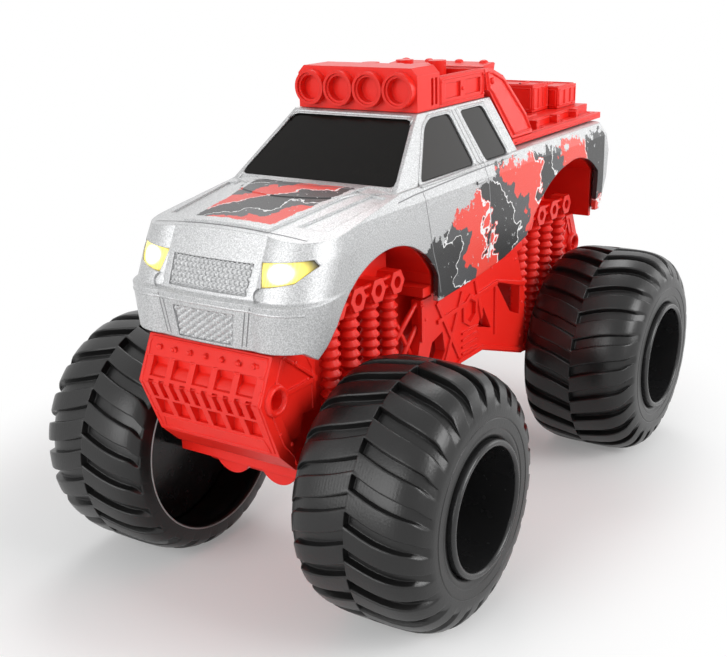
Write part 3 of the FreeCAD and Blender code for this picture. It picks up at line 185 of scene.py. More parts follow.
def silver():
    """Metallic flake paint, with a torn splash on both sides and on the hood."""
    g = Graph("silver_flake")
    flake = g.noise(4.0, 3.0, 0.75)
    glint = g.noise(6.5, kind="ShaderNodeTexVoronoi")
    paint = g.mix(g.step(flake, 0.5, 0.16), SILVER_DARK, SILVER_LIGHT)
    rough_edge = g.mul(g.add(g.noise(0.26, 7.0, 0.7), -0.5), 15.0)
    rise = g.math("MINIMUM", g.mul(g.add(g.y, 33.0), 0.4), 15.4)
    upper = g.add(64.0, rise, g.mul(g.z, -1.0), rough_edge)
    front = g.add(g.y, 21.0, g.mul(g.add(g.z, -57.0), 1.25), g.mul(rough_edge, 0.7))
    outboard = g.mul(g.add(g.math("ABSOLUTE", g.x), -18.9), 2.0)
    below_glass = g.add(80.6, g.mul(g.z, -1.0))
    before_tail = g.add(67.5, g.mul(g.y, -1.0))
    side = g.step(g.least(upper, front, before_tail, outboard, below_glass), 0.0, 0.12)
    along = g.mul(g.add(g.y, g.mul(g.z, 0.55)), 0.034)
    color = splash(g, side, along, g.add(g.z, g.mul(g.y, -0.55)), paint)
    half = g.add(9.2, g.mul(g.add(g.y, 60.0), 0.13), g.mul(g.math("ABSOLUTE", g.x), -1.0))
    hood = g.least(half, g.add(g.y, 60.5), g.add(-37.0, g.mul(g.y, -1.0)), g.add(g.z, -74.0))
    on_hood = g.step(g.add(hood, g.mul(rough_edge, 0.2)), 0.35, 0.1)
    hood_along = g.mul(g.add(g.mul(g.x, 0.8), g.mul(g.y, -1.0)), 0.05)
    color = splash(g, on_hood, hood_along, g.add(g.x, g.mul(g.y, 0.8)), color)
    covered = g.math("MAXIMUM", side, on_hood)
    g.bump(g.add(flake, g.mul(glint, 0.6)), 0.04, 0.35)
    bare = g.math("SUBTRACT", 1.0, covered)
    return g.finish(Base_Color=color, Metallic=g.mul(bare, 0.7), Roughness=0.42,
                    Coat_Weight=0.2, Coat_Roughness=0.2)


def plastic(name, color, lighter, roughness):
    """Moulded plastic, slightly uneven in colour, with softened edges: its graph and material."""
    g = Graph(name)
    tone = g.noise(0.09, 3.0, 0.6)
    shade = g.mix(tone, color, lighter)
    g.bump(g.noise(3.0, 3.0, 0.6), 0.012)
    uneven = g.add(roughness, g.mul(g.add(g.noise(0.35, 2.0), -0.5), 0.12))
    return g, g.finish(Base_Color=shade, Roughness=uneven)


def red():
    """Red plastic that lets a little light in."""
    g, mat = plastic("red_plastic", (0.76, 0.012, 0.007), (0.85, 0.026, 0.015), 0.34)
    g.finish(Subsurface_Weight=0.1, Subsurface_Radius=(0.6 * MM, 0.15 * MM, 0.1 * MM),
             Specular_IOR_Level=0.32)
    return mat


def rubber():
    """Satin black tread with fine lines left by the mould."""
    g = Graph("tyre_rubber")
    wave = g.tree.nodes.new("ShaderNodeTexWave")
    wave.bands_direction = "X"
    wave.inputs["Scale"].default_value = 0.5
    wave.inputs["Distortion"].default_value = 0.4
    g.link(g.place, wave.inputs["Vector"])
    tone = g.noise(0.12, 4.0, 0.6)
    color = g.mix(tone, (0.004, 0.004, 0.0042), (0.010, 0.0098, 0.0096))
    g.bump(g.add(g.mul(wave.outputs["Fac"], 0.15), g.noise(2.2, 3.0, 0.6)), 0.03, 0.3)
    return g.finish(Base_Color=color, Roughness=g.add(0.25, g.mul(tone, 0.12)),
                    Specular_IOR_Level=0.45)


LAMP_X, LAMP_Z = 15.2, 71.6                 # middle of a headlamp


def lens():
    """Lit headlamp: white core, warm yellow field and a smoky outer corner."""
    g = Graph("lamp_lens")
    across = g.add(g.math("ABSOLUTE", g.x), -LAMP_X)
    up = g.add(g.z, -LAMP_Z)
    far = g.math("SQRT", g.add(g.mul(across, across), g.mul(g.mul(up, up), 2.2)))
    glow = g.math("SUBTRACT", 1.0, g.step(far, 2.3, 0.9))
    field = g.math("SUBTRACT", 1.0, g.step(far, 4.5, 1.2))
    color = g.mix(glow, (1.0, 0.78, 0.06), (1.0, 0.97, 0.86))
    flutes = g.math("SINE", g.mul(g.x, 9.0))
    g.bump(g.add(flutes, g.noise(1.0)), 0.03, 0.2)
    power = g.add(g.mul(glow, 2.6), g.mul(field, 0.62))
    return g.finish(Base_Color=g.mix(field, (0.05, 0.045, 0.03), (0.9, 0.75, 0.2)), Roughness=0.12,
                    Emission_Color=color, Emission_Strength=power, Coat_Weight=0.3)


def glass():
    """Smoked glazing, glossy, almost black ahead; the sideways panes are lighter by a painted
    reflection.
    """
    g = Graph("dark_glazing")
    dust = g.noise(0.5, 5.0, 0.7)
    normal = g.node("ShaderNodeSeparateXYZ", 0, Vector=g.node("ShaderNodeNewGeometry", "Normal"))
    # painted reflection: panes facing sideways get a lighter colour, the front side panes a little
    # more
    aside = g.step(g.math("ABSOLUTE", normal), 0.6, 0.2)
    rear = g.step(g.y, -6.0, 14.0)
    front = g.mix(dust, (0.0035, 0.003, 0.0028), (0.008, 0.007, 0.006))
    pane = g.mix(rear, (0.02, 0.018, 0.017), (0.016, 0.015, 0.014))
    g.bump(g.noise(0.05, 1.0), 0.03, 0.2)
    return g.finish(Base_Color=g.mix(aside, front, pane), Roughness=g.add(0.1, g.mul(dust, 0.06)),
                    Specular_IOR_Level=0.1)


def metal():
    """Bright drawn steel."""
    g = Graph("axle_steel")
    g.bump(g.noise(4.0), 0.01, 0.1)
    return g.finish(Base_Color=g.mix(g.noise(0.8), (0.42, 0.42, 0.43), (0.62, 0.62, 0.63)),
                    Metallic=1.0, Roughness=0.32)


FINISHES = {
    "silver_shell": silver(), "red_plastic": red(), "tyre": rubber(), "lamp_lens": lens(),
    "dark_glazing": glass(), "steel": metal(),
    "rim": plastic("rim_black", (0.012, 0.012, 0.0125), (0.02, 0.02, 0.0205), 0.26)[1],
    "black_plastic": plastic("black_plastic", (0.02, 0.02, 0.021), (0.03, 0.03, 0.031), 0.4)[1],
    "cells": plastic("cell_sleeve", (0.12, 0.13, 0.15), (0.2, 0.2, 0.22), 0.35)[1],
}
# shut lines as flat strips of painted groove shade, and the painted highlight ring at a tyre's open
# back
SEAM = plastic("seam_shadow", (0.16, 0.16, 0.165), (0.24, 0.24, 0.245), 0.6)[1]
# painted highlight: pale grey plastic on the ring stands in for the gleam on the tyre's back edge
RING = plastic("painted_edge_highlight", (0.3, 0.3, 0.3), (0.42, 0.42, 0.42), 0.3)[1]
for row in frame["record"]["subparts"]:
    for place in frame["nodes"][row["node"]].material_slots:
        place.material = FINISHES[row["material_slot"]]


# ---- pieces --------------------------------------------------------------------------

def piece(name, points, faces, body, slot, material=None, smooth=40, stands_for=()):
    """Mesh piece from points in millimetres, riding on a body."""
    mesh = bpy.data.meshes.new(name)
    mesh.from_pydata([[c * MM for c in p] for p in points], [], faces)
    mesh.validate()
    mesh.polygons.foreach_set("use_smooth", [True] * len(mesh.polygons))
    mesh.set_sharp_from_angle(angle=math.radians(smooth))
    obj = bpy.data.objects.new(name, mesh)
    mesh.materials.append(material or FINISHES[slot])
    bpy.context.scene.collection.objects.link(obj)
    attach(obj, body)
    if stands_for:
        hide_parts(*stands_for)
    return obj


def rows_mesh(rows, closed=False, flip=False):
    """Faces between rows of equal length; closed joins each row's ends."""
    count = len(rows[0])
    faces = []
    for r in range(len(rows) - 1):
        for c in range(count if closed else count - 1):
            d = (c + 1) % count
            face = (r * count + c, r * count + d, (r + 1) * count + d, (r + 1) * count + c)
            faces.append(face[::-1] if flip else face)
    return [p for row in rows for p in row], faces


def ramp(value, *knots):
    """Straight runs through (at, value) knots."""
    for (a, low), (b, high) in zip(knots, knots[1:]):
        if value <= b:
            return low + (high - low) * max(0.0, (value - a) / (b - a))
    return knots[-1][1]


TYRE_RADIUS, TYRE_MIDDLE = 26.0, 32.6       # over the lugs; from the truck's middle to the tread's
LUG, PITCH = 1.6, 15.0                      # height of a lug, degrees from one lug to the next
HALF_PITCHES = 48                           # in a full turn
OUTER_REACH, INNER_REACH = 14.7, 13.9       # from the tread's middle to its outer and inner side
EDGE_RADIUS, EDGE_HALF = 20.0, 0.16         # painted highlight ring round the open back, half its thickness


def lug_share(turn):
    """1 on a lug, 0 in a groove, at an angle from the start of a groove."""
    return ramp(turn % PITCH, (0, 0.9), (0.45, 0), (5.55, 0), (6.0, 0.9), (6.5, 1), (14.5, 1),
                (15, 0.9))


def tyre_rows():
    """Rings of points about X, from the outer bead over the tread to the open back."""
    marks = (0.0, 0.45, 1.7, 3.0, 4.3, 5.55, 6.0, 6.5, 7.0)
    shares = (0.006, 0.12, 0.25, 0.4, 0.54, 0.66, 0.75, 0.82, 0.87, 0.91, 0.94, 0.96, 0.974)
    halves = []
    for reach, low, sign, half in ((OUTER_REACH, 13.5, 1, 0), (INNER_REACH, 19.8, -1, 1)):
        rings = []
        for share in shares:
            radius = low + (TYRE_RADIUS - low) * (1 - share ** 4.1) ** (1 / 3.0)
            lug = LUG * ramp(share, (0, 1), (0.84, 0.95), (0.93, 0.62), (0.97, 0))
            sweep = ramp(share, (0, 0), (0.34, 4), (0.85, 8), (0.97, 12))
            rings.append((sign * share * reach, radius, lug, sweep, half))
        halves.append(rings)
    side = [(14.42, 18.7), (14.46, 17.7), (14.3, 17.5), (14.44, 17.3), (14.42, 15.6), (14.28, 15.4),
            (14.36, 15.2), (14.3, 14.5), (14.0, 13.9), (13.6, 13.55), (12.4, 13.52)]
    back = [(-13.86, 20.6), (-13.9, 20.1), (-13.8, 19.8), (-13.5, 19.62), (-12.9, 19.7),
            (-11.8, 20.3), (-10.4, 21.2), (-8.6, 21.9), (-6.0, 22.15), (-1.7, 22.2)]
    stations = [(x, r, 0.0, 12.0, 0) for x, r in reversed(side)] + halves[0][::-1] + halves[1] \
        + [(x, r, 0.0, 12.0, 1) for x, r in back]
    rows = []
    for x, radius, lug, sweep, half in stations:
        ring = []
        for k in range(HALF_PITCHES):
            for mark in marks:
                turn = k * PITCH / 2 + mark
                out = radius - lug * (1 - lug_share(turn - half * PITCH / 2))
                angle = math.radians(turn + sweep - 0.5)
                ring.append((x, -out * math.sin(angle), out * math.cos(angle)))
        rows.append(ring)
    return rows


def tyres():
    """Four treads, each with a painted highlight ring at its open back; the rear lugs run the other
    way round.
    """
    rows = tyre_rows()
    for end, along in (("front", 1), ("rear", -1)):
        low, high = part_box(end + "_axle")
        y = (low[1] + high[1]) / 2 / MM
        z = (low[2] + high[2]) / 2 / MM
        for side, across in (("left", 1), ("right", -1)):
            moved = [[(across * (p[0] + TYRE_MIDDLE), along * p[1] + y, p[2] + z) for p in row]
                     for row in rows]
            points, faces = rows_mesh(moved, closed=True, flip=across * along > 0)
            piece("tread_%s_%s" % (end, side), points, faces, end + "_wheelset", "tyre",
                  smooth=32, stands_for=("tyre_%s_%s" % (end, side),))
            ring = []
            for a in (math.pi * m / 4 for m in range(9)):
                x = across * (TYRE_MIDDLE - INNER_REACH - EDGE_HALF * math.sin(a))
                radius = EDGE_RADIUS + EDGE_HALF * math.cos(a)
                ring.append([(x, y + radius * math.sin(t), z + radius * math.cos(t))
                             for t in (math.pi * k / 60 for k in range(120))])
            points, faces = rows_mesh(ring, closed=True, flip=across < 0)
            piece("edge_ring_%s_%s" % (end, side), points, faces, end + "_wheelset", "rim", RING)


TREES = {}
LIFT, STRIP_LIFT = 0.02, 0.03               # of reliefs and strips above the surface they lie on


def onto(node, view):
    """Lays plane points on a CAD node seen from one side: (point, normal) in mm, or None."""
    if node not in TREES:
        mesh = frame["nodes"][node].data
        TREES[node] = BVHTree.FromPolygons([v.co for v in mesh.vertices],
                                           [p.vertices for p in mesh.polygons])
    axis, sign = {"left": (0, 1), "right": (0, -1), "rear": (1, 1), "front": (1, -1),
                  "top": (2, 1), "under": (2, -1)}[view]

    def lay(a, b):
        origin = [a, b]
        origin.insert(axis, 150.0 * sign)
        ray = Vector([-sign if k == axis else 0 for k in range(3)])
        point, normal, _, _ = TREES[node].ray_cast(Vector(origin) * MM, ray)
        if point is None:
            return None
        return point / MM, -normal if normal.dot(ray) > 0 else normal
    return lay


def field(name, corners, counts, cast, height, slot):
    """Relief over a four-cornered field: corners are plane points, cast lays them on a surface.

    counts is the number of steps each way, and height the relief's height at a plane point.
    """
    rows = []
    for i in range(counts[0] + 1):
        row = []
        for j in range(counts[1] + 1):
            u, v = i / counts[0], j / counts[1]
            a = [(1 - u) * (1 - v) * c0 + u * (1 - v) * c1 + u * v * c2 + (1 - u) * v * c3
                 for c0, c1, c2, c3 in zip(*corners)]
            hit = cast(*a)
            if hit is None:
                return
            point, normal = hit
            edge = min(u, 1 - u, v, 1 - v) > 0
            row.append(point + normal * (LIFT + (height(*a) if edge else 0.0)))
        rows.append(row)
    turned = (rows[0][1] - rows[0][0]).cross(rows[1][0] - rows[0][0]).dot(cast(*corners[0])[1]) < 0
    points, faces = rows_mesh(rows, flip=turned)
    piece(name, points, faces, "truck", slot, smooth=60)


def slot_of(node):
    """Material slot of a CAD node."""
    return next(r["material_slot"] for r in frame["record"]["subparts"] if r["node"] == node)


def ribbon(name, path, width, cast, slot, material, rise):
    """Narrow strip laid on a surface along plane points: a shut line, or a bead if it rises."""
    dense = []
    for (a0, b0), (a1, b1) in zip(path, path[1:]):
        steps = max(1, int(math.hypot(a1 - a0, b1 - b0) / 0.8))
        dense += [(a0 + (a1 - a0) * k / steps, b0 + (b1 - b0) * k / steps) for k in range(steps)]
    dense.append(path[-1])
    hits = [hit for hit in (cast(a, b) for a, b in dense) if hit]
    rows = []
    for k, (point, normal) in enumerate(hits):
        before, after = hits[max(0, k - 1)][0], hits[min(len(hits) - 1, k + 1)][0]
        across = (after - before).cross(normal).normalized() * (width / 2)
        foot, crown = normal * STRIP_LIFT * 0.5, normal * (STRIP_LIFT + rise)
        rows.append([point - across + foot, point - across * 0.6 + crown * 0.8, point + crown,
                     point + across * 0.6 + crown * 0.8, point + across + foot])
    if len(rows) > 1:
        points, faces = rows_mesh(rows)
        piece(name, points, faces, "truck", slot, material, smooth=70)


def trim(name, node, view, path, width=0.5, rise=0.3, material=None):
    """The same strip on both sides of the truck: a raised bead, or a fine line if rise is 0."""
    slot = slot_of(node)
    if view in ("left", "right"):
        twins = ((node, "left", 1), (node.replace("_left", "_right"), "right", 1))
    else:
        twins = ((node, view, 1), (node, view, -1))
    for k, (carrier, side, sign) in enumerate(twins):
        ribbon("%s_%d" % (name, k), [(sign * a, b) for a, b in path], width, onto(carrier, side),
               slot, material, rise)


def domes(name, node, view, spots, radius=0.5, height=0.35):
    """Round heads on a surface, in one mesh."""
    slot = slot_of(node)
    points, faces, around = [], [], 14
    lay = onto(node, view)
    for point, normal in [hit for hit in (lay(a, b) for a, b in spots) if hit]:
        across = normal.orthogonal().normalized()
        along = normal.cross(across)
        start = len(points)
        for tilt in (0, 25, 50, 72, 90):
            out = radius * math.cos(math.radians(tilt))
            up = height * math.sin(math.radians(tilt)) - 0.05 * (tilt == 0)
            for k in range(around):
                turn = 2 * math.pi * k / around
                points.append(point + across * out * math.cos(turn) + along * out * math.sin(turn)
                              + normal * up)
        for ring in range(4):
            for k in range(around):
                a, b = start + ring * around + k, start + ring * around + (k + 1) % around
                faces.append((a, b, b + around, a + around))
    piece(name, points, faces, "truck", slot, smooth=70)


def rods(name, ends, radius):
    """Round red rods between pairs of points, in one mesh, their ends drawn in."""
    points, faces, around = [], [], 12
    for a, b in ends:
        a, b = Vector(a), Vector(b)
        axis = (b - a).normalized()
        across = axis.orthogonal().normalized()
        along = axis.cross(across)
        start = len(points)
        length = (b - a).length
        for at, share in ((0, 0.01), (0, 0.75), (radius * 0.3, 1), (length - radius * 0.3, 1),
                          (length, 0.75), (length, 0.01)):
            for k in range(around):
                turn = 2 * math.pi * k / around
                points.append(a + axis * at + (across * math.cos(turn) + along * math.sin(turn))
                              * radius * share)
        for ring in range(5):
            for k in range(around):
                c, d = start + ring * around + k, start + ring * around + (k + 1) % around
                faces.append((c, d, d + around, c + around))
    piece(name, points, faces, "truck", "red_plastic", smooth=50)


MESH_PITCH, MESH_RISE = 1.05, 0.42          # of both grilles' mesh


def hexes(a, b):
    """Ridges of a six-sided mesh."""
    nearest = []
    for shift in (0.0, 0.5):
        u = (a / MESH_PITCH + shift) % 1.0 - 0.5
        v = (b / (MESH_PITCH * math.sqrt(3)) + shift) % 1.0 - 0.5
        nearest.append(math.hypot(u, v * math.sqrt(3)))
    return MESH_RISE * min(1.0, max(0.0, (min(nearest) - 0.30) / 0.14))


def weave(a, b):
    """Upright grains set like bricks."""
    column = math.floor(a / 0.95)
    u = (a / 0.95) % 1.0 - 0.5
    v = (b / 1.3 + 0.5 * (column % 2)) % 1.0 - 0.5
    return MESH_RISE * max(0.0, 1 - (abs(u) / 0.42) ** 3) * max(0.0, 1 - (abs(v) / 0.46) ** 4)


def stipple(a, b):
    """Fine uneven grains."""
    value = math.sin(a * 9.1 + 3 * math.sin(b * 2.3)) * math.sin(b * 8.3 + 3 * math.sin(a * 1.9))
    return 0.1 * max(0.0, value)


SIDES = (("left", 1), ("right", -1))
SHOCKS = (("front", (-51.5, -44.8, -37.7, -30.6)), ("rear", (31.0, 38.3, 46.0, 53.7)))
SHOCK_LINE, TIE_LINE = 14.6, 16.3           # of the shocks and their ties, from the truck's middle
FOLDS, FOLD_PITCH = 14, 2.05                # of one shock
FOLD_MIDDLE = 0.475                         # share of a fold from its foot to its widest place


def loop(*corners):
    """A closed path."""
    return list(corners) + [corners[0]]


def shell_details():
    """Meshes and grains in the recesses, shut lines, window beads and the tail's panel."""
    nose, top = onto("body_shell", "front"), onto("body_shell", "top")
    field("grille_upper", ((-9.0, 67.4), (9.0, 67.4), (9.3, 72.55), (-9.3, 72.55)), (190, 54),
          nose, hexes, "silver_shell")
    field("grille_lower", ((-6.3, 58.15), (6.3, 58.15), (7.2, 63.9), (-7.2, 63.9)), (110, 46),
          nose, weave, "silver_shell")
    vent = ((13.0, -57.5), (18.6, -56.5), (19.4, -37.8), (16.2, -37.8))
    for side, sign in SIDES:
        field("hood_vent_" + side, [(sign * x, y) for x, y in vent], (40, 110), top, stipple,
              "silver_shell")
    shell = "body_shell"
    # shut lines here and below: flat grey strips of painted groove shade
    for k, path in enumerate((
            [(10.9, 65.7), (9.3, 57.4)], [(9.9, 65.3), (8.4, 57.4)], [(0.0, 56.9), (9.6, 57.1)])):
        trim("bumper_line_%d" % k, shell, "front", path, 0.26, 0.0, SEAM)
    trim("bumper_bead", shell, "front", [(0.0, 65.1), (11.5, 65.0), (17.0, 64.9), (20.5, 64.8)],
         0.5, 0.14)
    hood = [(x, -61.4 - 1.2 * (1 - (x / 19.0) ** 2)) for x in range(0, 20, 2)]
    trim("hood_line", shell, "top", hood, 0.3, 0.0, SEAM)
    trim("cowl_line", shell, "top", [(0.0, -38.4), (9.0, -38.2), (17.6, -37.4)], 0.3, 0.0, SEAM)
    trim("screen_bead", shell, "front", [(0.0, 80.5), (18.9, 80.5), (14.6, 92.9), (0.0, 92.9)],
         0.6, 0.16)
    for k, path in enumerate((
            [(-26.6, 79.4), (-25.6, 75.0), (-23.2, 66.0), (-20.8, 61.0), (-19.6, 57.0)],
            [(0.2, 80.0), (1.2, 76.0), (2.4, 66.0), (1.6, 58.5)],
            [(-5.4, 92.6), (-1.0, 80.0)], [(-3.9, 92.6), (0.6, 80.0)],
            [(-36.0, 79.0), (-30.0, 79.4), (-12.0, 79.9), (0.0, 80.1), (16.0, 80.3)])):
        trim("door_line_%d" % k, shell, "left", path, 0.26, 0.0, SEAM)
    trim("door_bead", shell, "left", loop((-26.8, 80.4), (-2.1, 80.4), (-6.2, 92.6), (-15.3, 92.6),
                                          (-18.5, 90.9)), 0.55, 0.16)
    trim("quarter_bead", shell, "left", loop((1.8, 80.4), (14.3, 80.4), (9.0, 92.6), (-2.9, 92.6)),
         0.55, 0.16)
    trim("handle", shell, "left", [(-4.6, 77.4), (-1.4, 77.5)], 0.9, 0.35)
    trim("tail_gate", shell, "rear", [(0.0, 62.2), (13.6, 62.2), (14.2, 63.0), (14.2, 77.4)],
         0.35, 0.0, SEAM)
    trim("tail_panel", shell, "rear", [(0.0, 65.6), (10.4, 65.6), (11.2, 66.6), (11.2, 72.4),
                                       (10.4, 73.4), (0.0, 73.4)], 0.6, 0.25)
    trim("tail_handle", shell, "rear", [(0.0, 75.4), (3.2, 75.4)], 1.1, 0.4)
    trim("tail_bumper", shell, "rear", [(0.0, 60.6), (14.0, 60.6), (17.6, 60.8)], 0.8, 0.3)
    rear = onto(shell, "rear")
    lamp = ((15.4, 68.2), (18.4, 68.2), (18.4, 76.6), (15.4, 76.6))
    for side, sign in SIDES:
        field("tail_lamp_" + side, [(sign * x, z) for x, z in lamp], (14, 40), rear,
              lambda a, b: 0.3 + 0.06 * math.sin(b * 6.0), "red_plastic")


KNEE, BOSS_RING = 48.7, 2.5                 # height of a guard's knee, radius of its boss's ring
GUARDS = (                                  # end, middle of the boss, side outline, studs
    ("front", -69.22,
     ((-66.6, 55.9), (-70.9, 47.6), (-67.3, 39.0), (-63.9, 35.0), (-60.6, 41.4), (-57.4, 43.0),
      (-57.2, 51.2), (-59.8, 55.9)),
     ((-68.3, 41.6), (-65.0, 38.4), (-62.6, 53.8), (-58.6, 49.2))),
    ("rear", 63.62,
     ((61.4, 55.9), (65.2, 47.6), (61.8, 39.0), (60.8, 37.0), (57.4, 43.0), (57.2, 51.2),
      (58.6, 55.9)),
     ((62.4, 41.6), (60.3, 53.8))))


def guard_details():
    """Frames, rivets, ribs, studs and boss rings on both guards."""
    for end, boss, outline, studs in GUARDS:
        guard, view = end + "_guard", end
        trim(end + "_guard_frame", guard, view,
             [(0.0, 56.5), (13.9, 56.5), (14.2, 55.4), (13.9, 53.3), (0.0, 53.3)], 0.5, 0.22)
        trim(end + "_guard_edge", guard, view, [(14.2, 53.0), (14.2, 49.2), (13.9, 38.0)],
             0.45, 0.2)
        trim(end + "_guard_lower", guard, view,
             [(0.0, 40.6), (12.4, 40.6), (13.0, 37.9), (0.0, 37.9)], 0.4, 0.18)
        trim(end + "_guard_knee", guard, view, [(0.0, KNEE), (13.6, KNEE)], 0.4, 0.14)
        domes(end + "_guard_rivets", guard, view, [(4.0 * k, 55.0) for k in range(-3, 4)],
              0.46, 0.36)
        bolts = [(s * x, z) for s in (-1, 1) for x, z in ((14.2, 51.0), (13.9, 45.0), (13.7, 41.5))]
        domes(end + "_guard_bolts", guard, view, bolts, 0.35, 0.25)
        trim(end + "_guard_side", guard, "left", loop(*outline), 0.4, 0.22)
        turns = [math.pi * k / 12 for k in range(25)]
        trim(end + "_guard_boss", guard, "left",
             [(boss + BOSS_RING * math.cos(t), KNEE + BOSS_RING * math.sin(t)) for t in turns],
             1.1, 0.7)
        for side in ("left", "right"):
            domes("%s_guard_studs_%s" % (end, side), guard, side, studs, 0.45, 0.35)


CRATES = (                                  # node, half its width, front, back, foot, lid
    ("bed_crate_front", 8.1, 49.9, 58.0, 85.9, 91.1),
    ("bed_crate_rear", 10.6, 59.8, 70.2, 85.9, 89.8))


def upper_details():
    """Borders, bolts and lids on the struts, rack, bed cover and crates."""
    trim("strut_border", "strut_left", "left", loop(
        (21.4, 84.1), (13.3, 94.4), (12.0, 95.3), (12.0, 98.5), (14.2, 98.5), (19.1, 96.5),
        (21.8, 93.8), (28.1, 87.4), (30.1, 84.1)), 0.6, 0.4)
    for side in ("left", "right"):
        domes("strut_bolts_" + side, "strut_" + side, side, [(13.9, 96.7)], 0.8, 0.6)
        domes("rack_bolts_" + side, "roof_rack", side, [(-8.2, 98.6), (1.0, 96.4), (10.3, 98.6),
                                                        (10.3, 94.4)], 0.45, 0.35)
        domes("frame_bolts_" + side, "side_frame_" + side, side,
              [(-21.6, 54.6), (-20.2, 50.6), (-22.6, 40.4), (-25.8, 33.0), (22.6, 54.0),
               (27.0, 42.0), (26.4, 33.4), (-9.0, 54.8), (10.0, 54.8)], 0.45, 0.3)
    trim("rail_border", "roof_rack", "left", loop((-8.4, 94.1), (10.5, 94.1), (10.5, 99.0),
                                                  (-8.4, 99.0)), 0.4, 0.22)
    trim("rack_lid", "roof_rack", "top", [(0.0, 10.4), (14.2, 10.4), (14.2, -8.2)], 0.4, 0.15)
    domes("lip_bumps", "strut_crossbar", "top", [(x, 19.0) for x in (-10.4, -4.0, 4.0, 10.4)],
          1.1, 0.6)
    trim("lip_line", "strut_crossbar", "rear", [(0.0, 98.8), (12.0, 98.8)], 0.3, 0.12)
    cover = "bed_cover"
    trim("cover_border", cover, "left", [(21.0, 82.2), (71.8, 82.2)], 0.35, 0.18)
    trim("cover_rail", cover, "left", [(36.0, 84.6), (71.0, 84.6)], 0.35, 0.18)
    trim("cover_seam", cover, "top", [(0.0, 24.0), (15.2, 24.0), (16.8, 26.0), (16.8, 70.6)],
         0.4, 0.16)
    trim("cover_rib", cover, "top", [(5.0, 26.5), (5.0, 46.5)], 0.6, 0.3)
    trim("cover_rib_out", cover, "top", [(11.0, 26.5), (11.0, 46.5)], 0.6, 0.3)
    bolts = [(s * 15.9, y) for s in (-1, 1) for y in (28.0, 40.0, 52.0, 69.0)]
    domes("cover_bolts", cover, "top", bolts, 0.5, 0.3)
    for name, half, low, high, base, top in CRATES:
        trim(name + "_lid", name, "top", [(0.0, low), (half, low), (half, high), (0.0, high)],
             0.5, 0.25)
        trim(name + "_catch", name, "top", [(half * 0.5, low + 1.6), (half * 0.5, high - 1.6)],
             0.9, 0.35)
        ribs = (low * 0.65 + high * 0.35, low * 0.3 + high * 0.7)
        for side in ("left", "right"):
            lay = onto(name, side)
            for k, path in enumerate((loop((low, base), (high, base), (high, top), (low, top)),
                                      *([(y, base), (y, top)] for y in ribs))):
                ribbon("%s_%s_%d" % (name, side, k), path, 0.5, lay, "red_plastic", None, 0.25)
        for part, view in (("_face", "front"), ("_back", "rear")):
            trim(name + part, name, view, [(0.0, base), (half, base), (half, top), (0.0, top)],
                 0.4, 0.2)


def fold_edges():
    """Thin flanges round the folds of every shock, as sharp as the mould leaves them."""
    turns = [math.pi * k / 12 for k in range(24)]
    profile = ((1.94, -0.3), (2.16, -0.13), (2.16, 0.13), (1.94, 0.3))
    for end, heads in SHOCKS:
        for side, sign in SIDES:
            x = sign * SHOCK_LINE
            node = "shocks_%s_%s" % (end, side)
            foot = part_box(node)[0][2] / MM
            points, faces = [], []
            for y in heads:
                for fold in range(FOLDS):
                    z = foot + (fold + FOLD_MIDDLE) * FOLD_PITCH
                    rings = [[(x + radius * math.cos(t), y + radius * math.sin(t), z + up)
                              for t in turns] for radius, up in profile]
                    more, links = rows_mesh(rings, closed=True)
                    faces += [tuple(len(points) + i for i in face) for face in links]
                    points += more
            piece("fold_edges_%s_%s" % (end, side), points, faces, "truck", "red_plastic",
                  smooth=30)


def chassis_details():
    """Links beside the spring towers, ties between the shocks' heads, grips on the battery door."""
    for side, sign in SIDES:
        ends = [((sign * 14.4, -28.4, 40.0), (sign * 16.3, -22.0, 49.6)),
                ((sign * 14.4, -29.2, 46.5), (sign * 16.3, -21.4, 55.0)),
                ((sign * 14.0, -28.4, 53.5), (sign * 15.6, -23.0, 42.5))]
        rods("links_" + side, ends, 0.6)
        for end, heads in SHOCKS:
            x = sign * TIE_LINE
            row = [((x, a + 1.2, z), (x, b - 1.2, z)) for a, b in zip(heads, heads[1:])
                   for z in (61.2, 63.0)]
            row += [((x, a + b, 59.3), (x, a + b, 61.0)) for a in heads for b in (-1.5, 1.5)]
            rods("shock_ties_%s_%s" % (end, side), row, 0.42)
    for k, y in enumerate((-17.0, -14.0, -11.0, 11.0)):
        trim("door_grip_%d" % k, "battery_door", "under", [(0.0, y), (6.0, y)], 0.8, 0.2)
    trim("door_edge", "battery_door", "under",
         [(0.0, -20.6), (9.4, -20.6), (9.4, 19.6), (0.0, 19.6)], 0.4, 0.15)


tyres()
shell_details()
guard_details()
upper_details()
fold_edges()
chassis_details()


# ---- view ----------------------------------------------------------------------------

CAMERA_PLACE = (0.13163, -0.21312, 0.12245)
AZIMUTH, ELEVATION, ROLL = 33.25, 21.06, -1.486
WORLD_LIGHT = 0.42                          # what the surround gives to surfaces
OVAL_SHIFT, OVAL_SQUASH = 20.0, 0.56        # floor that keeps the shadow: away from the key lamp,
OVAL_EDGE, OVAL_SOFTNESS = 88.0, 22.0       # longer along the truck, with a soft edge
NEAR_WHITE = 0.2                            # share of plain white inside the oval
LIGHTS = (                                  # name, place, height aimed at, side, power
    ("key", (0.88, 0.12, 0.46), 0.06, 0.5, 5.8),
    ("fill", (-0.2, -0.95, 0.42), 0.05, 0.7, 5.4),
    ("back", (-0.42, 0.66, 0.95), 0.07, 0.5, 3.2),
    ("edge", (0.54, 1.0, 0.30), 0.07, 0.5, 1.4))


